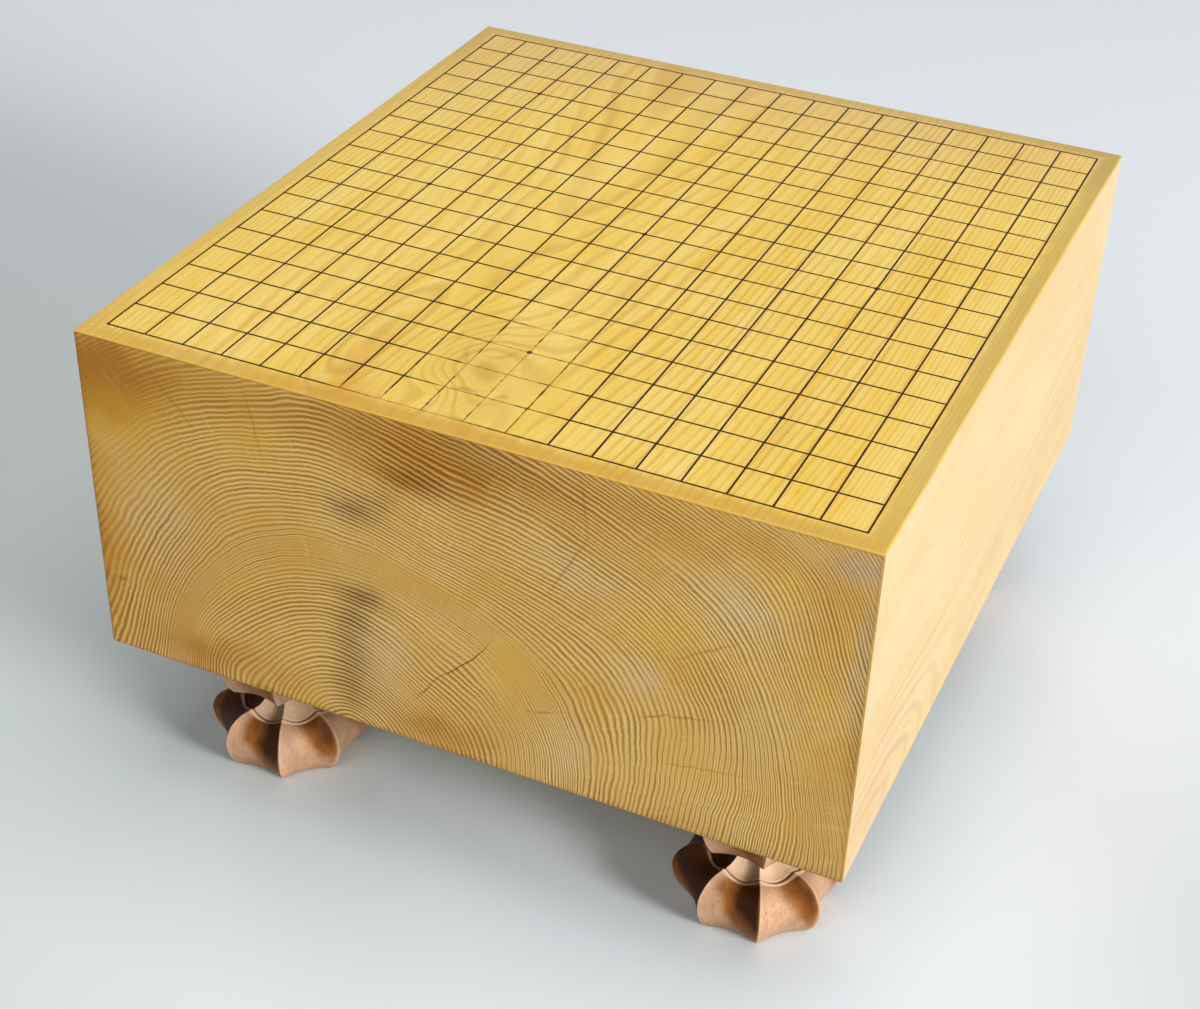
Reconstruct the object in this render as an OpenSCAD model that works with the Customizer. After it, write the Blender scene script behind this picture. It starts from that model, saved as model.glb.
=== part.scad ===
// Floor go board: a solid block of wood, ruled with lacquer lines, on four carved plug-in legs.
// Millimetres. The feet stand on the plane z = 0, and the end grain faces the front and the back.

/* [Block] */
// Width of the block, across its end grain
block_w = 424; // [390:1:460]
// Length of the block, along its grain
block_l = 455; // [420:1:500]
// Thickness of the block
block_t = 197; // [120:1:240]
// Chamfer that eases every edge of the block
edge_ease = 0.8; // [0.3:0.1:3]

/* [Ruling] */
// Number of lines each way
line_count = 19; // [9:2:19]
// Margin between a side face and the nearest lengthwise line
margin_across = 12.2; // [8:0.1:40]
// Margin between an end face and the nearest crosswise line
margin_along = 12.4; // [8:0.1:40]
// Width of a lacquer line
line_w = 1; // [0.5:0.1:2]
// Height of the lengthwise strokes, which are laid first
first_stroke_h = 0.12; // [0.05:0.01:0.3]
// Rise of the crosswise strokes over the lengthwise ones
second_stroke_rise = 0.06; // [0.03:0.01:0.2]
// Diameter of a star point
star_d = 2.8; // [2.2:0.1:6]
// Rise of a star point over the crosswise strokes
star_rise = 0.08; // [0.03:0.01:0.3]
// Line, counted from the edge of the grid, that carries the outer star points
star_line = 4; // [3:1:4]

/* [Leg] */
// Height of a leg between the floor and the block
leg_h = 99; // [85:0.5:130]
// Distance of a leg's axis from the block's side face
leg_inset_across = 65.5; // [55:0.5:90]
// Distance of a leg's axis from the block's end face
leg_inset_along = 71.5; // [55:0.5:100]
// Number of ribs round a leg
rib_count = 8; // [6:1:8]

/* [Bulb] */
// Radius of the foot at the ribs
foot_r = 37.5; // [32:0.5:42]
// Radius of the bulb at the ribs, where it is widest
bulb_r = 46; // [43:0.5:50]
// Height above the floor at which the bulb is widest
bulb_z = 19.5; // [14:0.5:26]
// Radius of the rounded shoulder above the widest ring
shoulder_r = 15.5; // [10:0.5:17]
// Radius of the cut groove where the neck leaves the bulb
groove_r = 25.5; // [22:0.5:27]
// Width of that groove
groove_w = 1.6; // [0.6:0.1:3]
// Depth of that groove
groove_d = 1; // [0.4:0.1:2]

/* [Neck] */
// Radius of the waist at the ribs
waist_r = 14.5; // [10:0.5:20]
// Rise of the waist above the bulb's shoulder
waist_rise = 11; // [6:0.5:14]

/* [Crown] */
// Radius of the crown's lower tips
tip_r = 37.6; // [32:0.2:42]
// Rise of the tips above the waist
tip_rise = 8; // [4:0.5:14]
// Radius of the crown at the ribs, where it is widest
crown_r = 48.5; // [44:0.5:54]
// Distance from the crown's widest ring up to the block
crown_lead = 11; // [4:0.5:20]

/* [Flutes] */
// Depth of the flutes below the ribs at the foot
foot_flute = 5.2; // [3:0.1:8]
// Depth of the flutes at the bulb's widest ring
bulb_flute = 7; // [4:0.1:10]
// Drop of the flutes below the ribs on the bulb's shoulder
shoulder_flute = 3.4; // [1:0.1:6]
// Lean of the flutes towards the neck on that shoulder
shoulder_lean = 2.5; // [0.5:0.1:4]
// Depth of the flutes at the waist
waist_flute = 2; // [1:0.1:4]
// Depth of the flutes at the crown's tips
tip_flute = 6.5; // [4:0.1:9]
// Depth of the flutes at the crown's widest ring
crown_flute = 8; // [4:0.1:11]

/* [Tenon] */
// Diameter of the round tenon on top of a leg
tenon_d = 38; // [28:0.5:46]
// Length of the tenon
tenon_l = 36; // [20:0.5:50]
// Chamfer at the tenon's end
tenon_ease = 1.5; // [0.5:0.1:4]
// Radial play of the tenon in its mortise
tenon_play = 0.05; // [0.02:0.01:0.1]
// Space left above the tenon in its mortise
mortise_relief = 2; // [0.5:0.5:6]

/* [Underside hollow] */
// Width of the square hollow at its mouth
hollow_w = 120; // [100:1:140]
// Depth of the hollow
hollow_d = 28; // [18:0.5:36]
// Lean of each wall of the hollow, from its mouth to its floor
hollow_draft = 8; // [3:0.5:12]
// Width of the flat top of the island in the hollow
island_w = 36; // [20:0.5:44]
// Spread of each side of the island, from its top to its foot
island_draft = 12; // [4:0.5:14]
// Depth of the island's top below the underside
island_drop = 6; // [2:0.5:12]

/* [Hidden] */
$fn = 64;

// Finishes
block_colour = [0.86, 0.66, 0.32];
leg_colour = [0.47, 0.22, 0.12];
lacquer_colour = [0.12, 0.07, 0.04];

// Margin by which a cutting shape runs past the face that it cuts
cut = 1;

// Heights of the block's two broad faces
under_z = leg_h;
top_z = leg_h + block_t;

// Spacing, first line and star lines of the grid
pitch_across = (block_w - 2 * margin_across) / (line_count - 1);
pitch_along = (block_l - 2 * margin_along) / (line_count - 1);
mid_line = (line_count - 1) / 2;
star_lines = [star_line - 1, mid_line, line_count - star_line];

// Length of a stroke, which ends flush with the outer side of the outermost crossing line
stroke_l_along = pitch_along * (line_count - 1) + line_w;
stroke_l_across = pitch_across * (line_count - 1) + line_w;
second_stroke_h = first_stroke_h + second_stroke_rise;
star_h = second_stroke_h + star_rise;

// Places of the legs
leg_x = block_w / 2 - leg_inset_across;
leg_y = block_l / 2 - leg_inset_along;

// Heights along a leg
shoulder_z = bulb_z + shoulder_r;
waist_z = shoulder_z + waist_rise;
tip_z = waist_z + tip_rise;
crown_z = leg_h - crown_lead;

// Length by which the tenon is rooted in the crown
tenon_root = crown_lead;

// Half the angle between two ribs, and the turn that sets a flute square to the front
half_rib = 180 / rib_count;
front_turn = -90;

// Steps across a flute and along each stretch of the leg's profile
flute_steps = 6;
bulb_steps = 4;
shoulder_steps = 5;
cove_steps = 4;
crown_steps = 6;

// Across-the-grain and along-the-grain place of a line, counted from the front left corner
function line_x(i) = (i - mid_line) * pitch_across;
function line_y(i) = (i - mid_line) * pitch_along;

// Radius at a height on an arc that starts at one ring and stands upright at its widest ring
function swell(start_r, start_z, wide_r, wide_z, z) =
    let (
        gain = wide_r - start_r,
        rise = wide_z - start_z,
        arc = (gain * gain + rise * rise) / (2 * gain)
    )
    wide_r - arc + sqrt(arc * arc - (wide_z - z) * (wide_z - z));

// Stations of a leg, from the floor up: radius and height of the ribs, then of the flutes
function bulb_station(z) = [
    swell(foot_r, 0, bulb_r, bulb_z, z), z,
    swell(foot_r - foot_flute, 0, bulb_r - bulb_flute, bulb_z, z), z
];

function shoulder_station(a) =
    let (flute_in = bulb_r - shoulder_r - shoulder_lean)
    [
        bulb_r - shoulder_r + shoulder_r * cos(a), bulb_z + shoulder_r * sin(a),
        flute_in + (bulb_r - bulb_flute - flute_in) * cos(a),
        bulb_z + (shoulder_r - shoulder_flute) * sin(a)
    ];

function groove_station(r, rise) = [r, shoulder_z + rise, r, shoulder_z - shoulder_flute + rise];

// Cove that runs from the groove in to the waist, then out to the tips of the crown
function neck_station(a) =
    let (start_r = groove_r - groove_w / 2, flute_z = shoulder_z - shoulder_flute)
    [
        start_r - (start_r - waist_r) * sin(a), waist_z - waist_rise * cos(a),
        start_r - (start_r - waist_r + waist_flute) * sin(a), waist_z - (waist_z - flute_z) * cos(a)
    ];

function under_crown_station(a) = [
    tip_r - (tip_r - waist_r) * cos(a), waist_z + tip_rise * sin(a),
    tip_r - tip_flute - (tip_r - tip_flute - waist_r + waist_flute) * cos(a), waist_z + tip_rise * sin(a)
];

function crown_station(z) = [
    swell(tip_r, tip_z, crown_r, crown_z, z), z,
    swell(tip_r - tip_flute, tip_z, crown_r - crown_flute, crown_z, z), z
];

stations = [
    for (i = [0 : bulb_steps]) bulb_station(bulb_z * i / bulb_steps),
    for (i = [1 : shoulder_steps]) shoulder_station(90 * i / shoulder_steps),
    groove_station(groove_r + groove_w / 2, 0),
    groove_station(groove_r, -groove_d),
    for (i = [0 : cove_steps]) neck_station(90 * i / cove_steps),
    for (i = [1 : cove_steps]) under_crown_station(90 * i / cove_steps),
    for (i = [1 : crown_steps]) crown_station(tip_z + (leg_h - tip_z) * i / crown_steps)
];

// Closed ring of points at a station: a hollow arc from each rib to the next
function ring(s) = [
    for (rib = [0 : rib_count - 1], step = [0 : flute_steps - 1])
        let (
            v = 2 * step / flute_steps - 1,
            side = s[0] * sin(half_rib) * v,
            out = s[2] + (s[0] * cos(half_rib) - s[2]) * v * v,
            turn = front_turn + 2 * half_rib * rib
        )
        [
            out * cos(turn) - side * sin(turn),
            out * sin(turn) + side * cos(turn),
            s[3] + (s[1] - s[3]) * v * v
        ]
];

// Rectangle with its corners cut off by the edge chamfer
module eased_rectangle(w, h) {
    x = w / 2;
    y = h / 2;
    polygon([
        for (q = [[1, 1, 0], [-1, 1, 1], [-1, -1, 0], [1, -1, 1]])
            let (
                beside = [q[0] * x, q[1] * (y - edge_ease)],
                above = [q[0] * (x - edge_ease), q[1] * y]
            )
            each (q[2] == 0 ? [beside, above] : [above, beside])
    ]);
}

// Block with all its edges eased, made of its three outlines
module eased_block() {
    translate([0, 0, under_z + block_t / 2])
        intersection() {
            linear_extrude(block_t, center = true)
                eased_rectangle(block_w, block_l);
            rotate([90, 0, 0])
                linear_extrude(block_l, center = true)
                    eased_rectangle(block_w, block_t);
            rotate([90, 0, 90])
                linear_extrude(block_w, center = true)
                    eased_rectangle(block_l, block_t);
        }
}

// Square frustum that stands on z = 0
module frustum(low_w, high_w, h) {
    side = [[-low_w / 2, 0], [low_w / 2, 0], [high_w / 2, h], [-high_w / 2, h]];
    intersection_for (turn = [0, 90])
        rotate([90, 0, turn])
            linear_extrude(2 * max(low_w, high_w), center = true)
                polygon(side);
}

// Hollow carved in the middle of the underside, with an island left standing in it
module hollow_cut() {
    lean_per_mm = 2 * hollow_draft / hollow_d;
    translate([0, 0, under_z])
        difference() {
            translate([0, 0, -cut])
                frustum(hollow_w + lean_per_mm * cut, hollow_w - 2 * hollow_draft, hollow_d + cut);
            translate([0, 0, island_drop])
                frustum(island_w, island_w + 2 * island_draft, hollow_d - island_drop);
        }
}

// Four copies, one at each leg's place
module at_each_leg() {
    for (x = [-leg_x, leg_x], y = [-leg_y, leg_y])
        translate([x, y, 0])
            children();
}

// Mortise that takes a leg's tenon, with play round it and relief above it
module mortise_cut() {
    translate([0, 0, under_z - cut])
        cylinder(r = tenon_d / 2 + tenon_play, h = cut + tenon_l + mortise_relief);
}

module board_block() {
    color(block_colour)
        difference() {
            eased_block();
            hollow_cut();
            at_each_leg() mortise_cut();
        }
}

// Carved body of a leg, lofted through the rings of its stations
module carved_body() {
    rings = len(stations);
    n = rib_count * flute_steps;
    sides = [
        for (i = [0 : rings - 2], j = [0 : n - 1])
            let (
                low = i * n + j,
                low_next = i * n + (j + 1) % n,
                high = low + n,
                high_next = low_next + n
            )
            each [[low, high, high_next], [low, high_next, low_next]]
    ];
    foot = [for (j = [0 : n - 1]) j];
    seat = [for (j = [0 : n - 1]) rings * n - 1 - j];
    polyhedron(
        points = [for (s = stations) each ring(s)],
        faces = concat(sides, [foot, seat]),
        convexity = 6
    );
}

// Round tenon with an eased end, rooted in the crown
module tenon() {
    translate([0, 0, leg_h - tenon_root])
        cylinder(d = tenon_d, h = tenon_root + tenon_l - tenon_ease);
    translate([0, 0, leg_h + tenon_l - tenon_ease])
        cylinder(d1 = tenon_d, d2 = tenon_d - 2 * tenon_ease, h = tenon_ease);
}

// Leg at one corner: across is -1 on the left, along is -1 at the front
module leg(across, along) {
    translate([across * leg_x, along * leg_y, 0])
        color(leg_colour)
            union() {
                carved_body();
                tenon();
            }
}

module front_left_leg() leg(-1, -1);
module front_right_leg() leg(1, -1);
module back_left_leg() leg(-1, 1);
module back_right_leg() leg(1, 1);

// One lacquer stroke, centred at the origin of its own plane
module stroke(w, l, h) {
    translate([-w / 2, -l / 2, top_z])
        cube([w, l, h]);
}

module lengthwise_strokes() {
    for (i = [0 : line_count - 1])
        translate([line_x(i), 0, 0])
            stroke(line_w, stroke_l_along, first_stroke_h);
}

module crosswise_strokes() {
    for (i = [0 : line_count - 1])
        translate([0, line_y(i), 0])
            stroke(stroke_l_across, line_w, second_stroke_h);
}

module lengthwise_lines() {
    color(lacquer_colour)
        lengthwise_strokes();
}

// Crosswise strokes pass over the lengthwise ones
module crosswise_lines() {
    color(lacquer_colour)
        difference() {
            crosswise_strokes();
            lengthwise_strokes();
        }
}

// Drops of lacquer set over the crossings
module star_points() {
    color(lacquer_colour)
        difference() {
            for (i = star_lines, j = star_lines)
                translate([line_x(i), line_y(j), top_z])
                    cylinder(d = star_d, h = star_h);
            lengthwise_strokes();
            crosswise_strokes();
        }
}

board_block();
front_left_leg();
front_right_leg();
back_left_leg();
back_right_leg();
lengthwise_lines();
crosswise_lines();
star_points();
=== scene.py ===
"""Floor go board: a solid block of wood on four carved legs, ruled with lacquer lines.

Lengths are in millimetres, and become metres where a mesh or a lamp is placed.
The wood of the block is one solid figure: growth rings round a pith that runs along the block,
so that the top, the ends and the sides show the same rings where they meet.
"""

import logging
import math
from dataclasses import dataclass
from enum import Enum
from typing import Iterable, Iterator, Sequence, Union

import bmesh
import bpy
from mathutils import Matrix, Vector, noise


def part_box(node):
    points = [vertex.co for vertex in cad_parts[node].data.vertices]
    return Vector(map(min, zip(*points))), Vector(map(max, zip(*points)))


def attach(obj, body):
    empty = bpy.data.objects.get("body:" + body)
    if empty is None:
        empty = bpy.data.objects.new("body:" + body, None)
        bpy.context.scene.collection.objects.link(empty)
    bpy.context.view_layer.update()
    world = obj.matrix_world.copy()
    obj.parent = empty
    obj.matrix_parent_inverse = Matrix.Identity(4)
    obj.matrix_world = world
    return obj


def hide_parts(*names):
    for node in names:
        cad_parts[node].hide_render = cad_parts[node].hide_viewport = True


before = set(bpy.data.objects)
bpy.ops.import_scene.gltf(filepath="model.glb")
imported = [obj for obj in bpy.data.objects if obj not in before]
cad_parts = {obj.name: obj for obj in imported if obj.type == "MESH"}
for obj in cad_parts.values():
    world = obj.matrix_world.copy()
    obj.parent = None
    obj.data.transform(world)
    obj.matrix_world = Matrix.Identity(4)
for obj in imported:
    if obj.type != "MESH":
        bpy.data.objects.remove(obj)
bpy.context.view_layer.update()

MM = 0.001

Triple = tuple[float, float, float]
Socket = bpy.types.NodeSocket
Number = Union[Socket, float]
Colour = Union[Socket, Triple]
Pair = tuple[float, float]

# What Graph.span takes after its value: low, high and, where they aren't 0 and 1, start and end.
Span = tuple[float, ...]

log = logging.getLogger("go_board")


def box_mm(node: str) -> tuple[Vector, Vector]:
    """Gives the lowest and the highest corner of a node of the frame, in millimetres."""
    low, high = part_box(node)
    return low / MM, high / MM


BLOCK_LOW, BLOCK_HIGH = box_mm("board_block")
FRONT_Y = BLOCK_LOW.y
BACK_Y = BLOCK_HIGH.y
RIGHT_X = BLOCK_HIGH.x
UNDER_Z = BLOCK_LOW.z
TOP_Z = BLOCK_HIGH.z


class Graph:
    """The node tree of a material or a world, with a short method for each kind of node used here."""

    def __init__(
        self, holder: Union[bpy.types.Material, bpy.types.World], shader: str = "Principled BSDF"
    ) -> None:
        """Starts the node tree with one shader.

        Args:
            holder: The new material or world.
            shader: Name of the shader node that it comes with.
        """
        self.holder = holder
        holder.use_nodes = True
        self.tree = holder.node_tree
        self.shader = self.tree.nodes[shader]

    def add(self, kind: str, **settings: object) -> bpy.types.Node:
        """Adds a node.

        Args:
            kind: Type of the node.
            **settings: Properties to set on it.

        Returns:
            The new node.
        """
        node = self.tree.nodes.new(kind)
        for key, value in settings.items():
            setattr(node, key, value)
        return node

    def put(self, socket: Socket, value: object) -> None:
        """Links a socket to an input, or sets the input to a plain value.

        Args:
            socket: The input.
            value: An output to link, a number, a vector or a colour of three numbers.
        """
        if isinstance(value, bpy.types.NodeSocket):
            self.tree.links.new(value, socket)
        elif socket.type == "RGBA":
            socket.default_value = (*value, 1.0)
        else:
            socket.default_value = value

    def point(self) -> Socket:
        """Gives the place on the piece, in millimetres."""
        place = self.add("ShaderNodeTexCoord").outputs["Object"]
        return self.vector("SCALE", place, scale=1 / MM)

    def attribute(self, name: str) -> Socket:
        """Gives a number that is stored on the piece's own mesh."""
        return self.add("ShaderNodeAttribute", attribute_name=name).outputs["Fac"]

    def math(self, operation: str, a: Number, b: Number = 0.0, c: Number = 0.0) -> Socket:
        """Adds one Math node.

        Args:
            operation: Name of the operation.
            a: First input.
            b: Second input.
            c: Third input.

        Returns:
            The result.
        """
        node = self.add("ShaderNodeMath", operation=operation)
        for socket, value in zip(node.inputs, (a, b, c)):
            self.put(socket, value)
        return node.outputs[0]

    def vector(self, operation: str, a: object, b: object = (0, 0, 0), scale: float = 1.0) -> Socket:
        """Adds one Vector Math node.

        Args:
            operation: Name of the operation.
            a: First vector.
            b: Second vector.
            scale: Factor, for the operation SCALE.

        Returns:
            The result, which is a number for LENGTH and DOT_PRODUCT.
        """
        node = self.add("ShaderNodeVectorMath", operation=operation)
        self.put(node.inputs[0], a)
        self.put(node.inputs[1], b)
        node.inputs[3].default_value = scale
        is_number = operation in ("LENGTH", "DOT_PRODUCT")
        return node.outputs["Value" if is_number else "Vector"]

    def place(self, point: Socket, centre: Triple, reach: Triple, turn: Triple = (0, 0, 0)) -> Socket:
        """Gives a point as seen from a centre, in units of a reach.

        Args:
            point: Place in millimetres.
            centre: Where the new origin lies.
            reach: Length of one unit each way.
            turn: Turn of the axes, in degrees.

        Returns:
            The point in the new axes.
        """
        node = self.add("ShaderNodeMapping", vector_type="TEXTURE")
        self.put(node.inputs["Vector"], point)
        self.put(node.inputs["Location"], centre)
        self.put(node.inputs["Rotation"], tuple(math.radians(a) for a in turn))
        self.put(node.inputs["Scale"], reach)
        return node.outputs[0]

    def span(
        self, value: Number, low: float, high: float, start: float = 0.0, end: float = 1.0
    ) -> Socket:
        """Eases a value from one level to another.

        Args:
            value: What is eased.
            low: Value at which the result leaves its first level.
            high: Value at which the result reaches its last level.
            start: First level.
            end: Last level.

        Returns:
            The eased value.
        """
        node = self.add("ShaderNodeMapRange", interpolation_type="SMOOTHSTEP")
        for socket, number in zip(node.inputs, (value, low, high, start, end)):
            self.put(socket, number)
        return node.outputs[0]

    def noise(self, point: Socket, size: Triple, detail: float = 2.0, rough: float = 0.5) -> Socket:
        """Gives soft noise between 0 and 1.

        Args:
            point: Place in millimetres.
            size: Length of the coarsest lumps each way.
            detail: Number of finer octaves.
            rough: Strength of the finer octaves.

        Returns:
            The noise.
        """
        node = self.add("ShaderNodeTexNoise")
        self.put(node.inputs["Vector"], self.vector("DIVIDE", point, size))
        self.put(node.inputs["Scale"], 1.0)
        self.put(node.inputs["Detail"], detail)
        self.put(node.inputs["Roughness"], rough)
        return node.outputs[0]

    def drift(self, point: Socket, size: float, reach: float) -> Socket:
        """Moves a point about softly, so that round patches turn into ragged ones.

        Args:
            point: Place in millimetres.
            size: Length of the coarsest lumps.
            reach: Greatest move.

        Returns:
            The moved point.
        """
        node = self.add("ShaderNodeTexNoise")
        self.put(node.inputs["Vector"], self.vector("DIVIDE", point, (size, size * 2, size)))
        self.put(node.inputs["Scale"], 1.0)
        self.put(node.inputs["Detail"], 3.0)
        centred = self.vector("SUBTRACT", node.outputs["Color"], (0.5, 0.5, 0.5))
        return self.vector("ADD", point, self.vector("SCALE", centred, scale=reach * 2))

    def mix(self, factor: Number, a: Colour, b: Colour, blend: str = "MIX") -> Socket:
        """Mixes two colours.

        Args:
            factor: Share of the second colour.
            a: First colour.
            b: Second colour.
            blend: How the second colour is laid over the first.

        Returns:
            The mixed colour.
        """
        node = self.add("ShaderNodeMix", data_type="RGBA", blend_type=blend)
        self.put(node.inputs[0], factor)
        self.put(node.inputs[6], a)
        self.put(node.inputs[7], b)
        return node.outputs[2]

    def patch(self, point: Socket, patch: "Patch") -> Socket:
        """Gives a soft-edged patch that is 1 at its centre and fades out beyond its reach.

        Args:
            point: Place in millimetres.
            patch: The patch.

        Returns:
            How far the place lies inside it, from 0 to 1.
        """
        seen = self.place(point, patch.centre, patch.reach, patch.turn)
        square = self.vector("DOT_PRODUCT", seen, seen)
        return self.math("EXPONENT", self.math("MULTIPLY", square, -1.0))

    def patches(self, point: Socket, patches: Iterable["Patch"], start: Number = 0.0) -> Socket:
        """Adds patches up, each times its own strength.

        Args:
            point: Place in millimetres.
            patches: The patches.
            start: What they are added to.

        Returns:
            The sum.
        """
        total = start
        for patch in patches:
            total = self.math("MULTIPLY_ADD", self.patch(point, patch), patch.strength, total)
        return total

    def cover(self, point: Socket, patches: Iterable["Patch"], start: Number = 0.0) -> Socket:
        """Adds patches up, but no further than 1."""
        return self.math("MINIMUM", self.patches(point, patches, start), 1.0)

    def seen(self) -> Socket:
        """Tells the rays that show a surface from those that only carry its light.

        Returns:
            1 where it is seen, straight or in gloss or glass, and 0 elsewhere.
        """
        path = self.add("ShaderNodeLightPath").outputs
        mirrored = self.math("MAXIMUM", path["Is Glossy Ray"], path["Is Transmission Ray"])
        return self.math("MAXIMUM", path["Is Camera Ray"], mirrored)

    def bump(self, height: Socket, depth: float) -> None:
        """Raises the surface of the shader.

        Args:
            height: Height at each place.
            depth: Length of one unit of height, in millimetres.
        """
        node = self.add("ShaderNodeBump")
        self.put(node.inputs["Strength"], 1.0)
        self.put(node.inputs["Distance"], depth * MM)
        self.put(node.inputs["Height"], height)
        self.put(self.shader.inputs["Normal"], node.outputs[0])

    def dress(self, colour: Socket, rough: Number, specular: float) -> None:
        """Sets what the shader shows.

        Args:
            colour: Its base colour.
            rough: Its roughness.
            specular: Strength of its gloss.
        """
        self.put(self.shader.inputs["Base Color"], colour)
        self.put(self.shader.inputs["Roughness"], rough)
        self.put(self.shader.inputs["Specular IOR Level"], specular)


@dataclass(frozen=True)
class Patch:
    """A soft-edged patch of the wood, strongest at its centre."""

    centre: Triple
    reach: Triple
    strength: float
    turn: Triple = (0.0, 0.0, 0.0)


class Side(Enum):
    """What patches are laid on: the axis it faces, its place on that axis, and how deep they go."""

    FRONT = (1, FRONT_Y, 60.0)
    RINGS = (1, FRONT_Y, 420.0)
    TOP = (2, TOP_Z, 20.0)
    RIGHT = (0, RIGHT_X, 20.0)

    def patch(
        self, u: float, v: float, reach_u: float, reach_v: float, strength: float, turn: float = 0.0
    ) -> Patch:
        """Lays one patch.

        Args:
            u: Its centre along the first axis of the face.
            v: Its centre along the second axis of the face.
            reach_u: Its reach along the first axis.
            reach_v: Its reach along the second axis.
            strength: Its strength.
            turn: Its turn on the face, in degrees.

        Returns:
            The patch.
        """
        axis, level, depth = self.value
        centre, reach, turns = [u, v], [reach_u, reach_v], [0.0, 0.0]
        for numbers, extra in ((centre, level), (reach, depth), (turns, turn)):
            numbers.insert(axis, extra)
        return Patch(tuple(centre), tuple(reach), strength, tuple(turns))

    def patches(self, *rows: Sequence[float]) -> tuple[Patch, ...]:
        """Lays one patch for each row of numbers."""
        return tuple(self.patch(*row) for row in rows)


LINE_REACH = 0.45
LINE_DEPTH = 25.0


def front_line(x0: float, z0: float, x1: float, z1: float, width: float, strength: float) -> Patch:
    """Gives a thin straight line on the front end, as a long narrow patch.

    Args:
        x0: First end across the block.
        z0: First end above the floor.
        x1: Second end across the block.
        z1: Second end above the floor.
        width: Half the width of the line.
        strength: Its strength.

    Returns:
        The patch.
    """
    length = math.hypot(x1 - x0, z1 - z0)
    turn = -math.degrees(math.atan2(z1 - z0, x1 - x0))
    centre = ((x0 + x1) / 2, FRONT_Y, (z0 + z1) / 2)
    return Patch(centre, (length * LINE_REACH, LINE_DEPTH, width), strength, (0.0, turn, 0.0))


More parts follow.
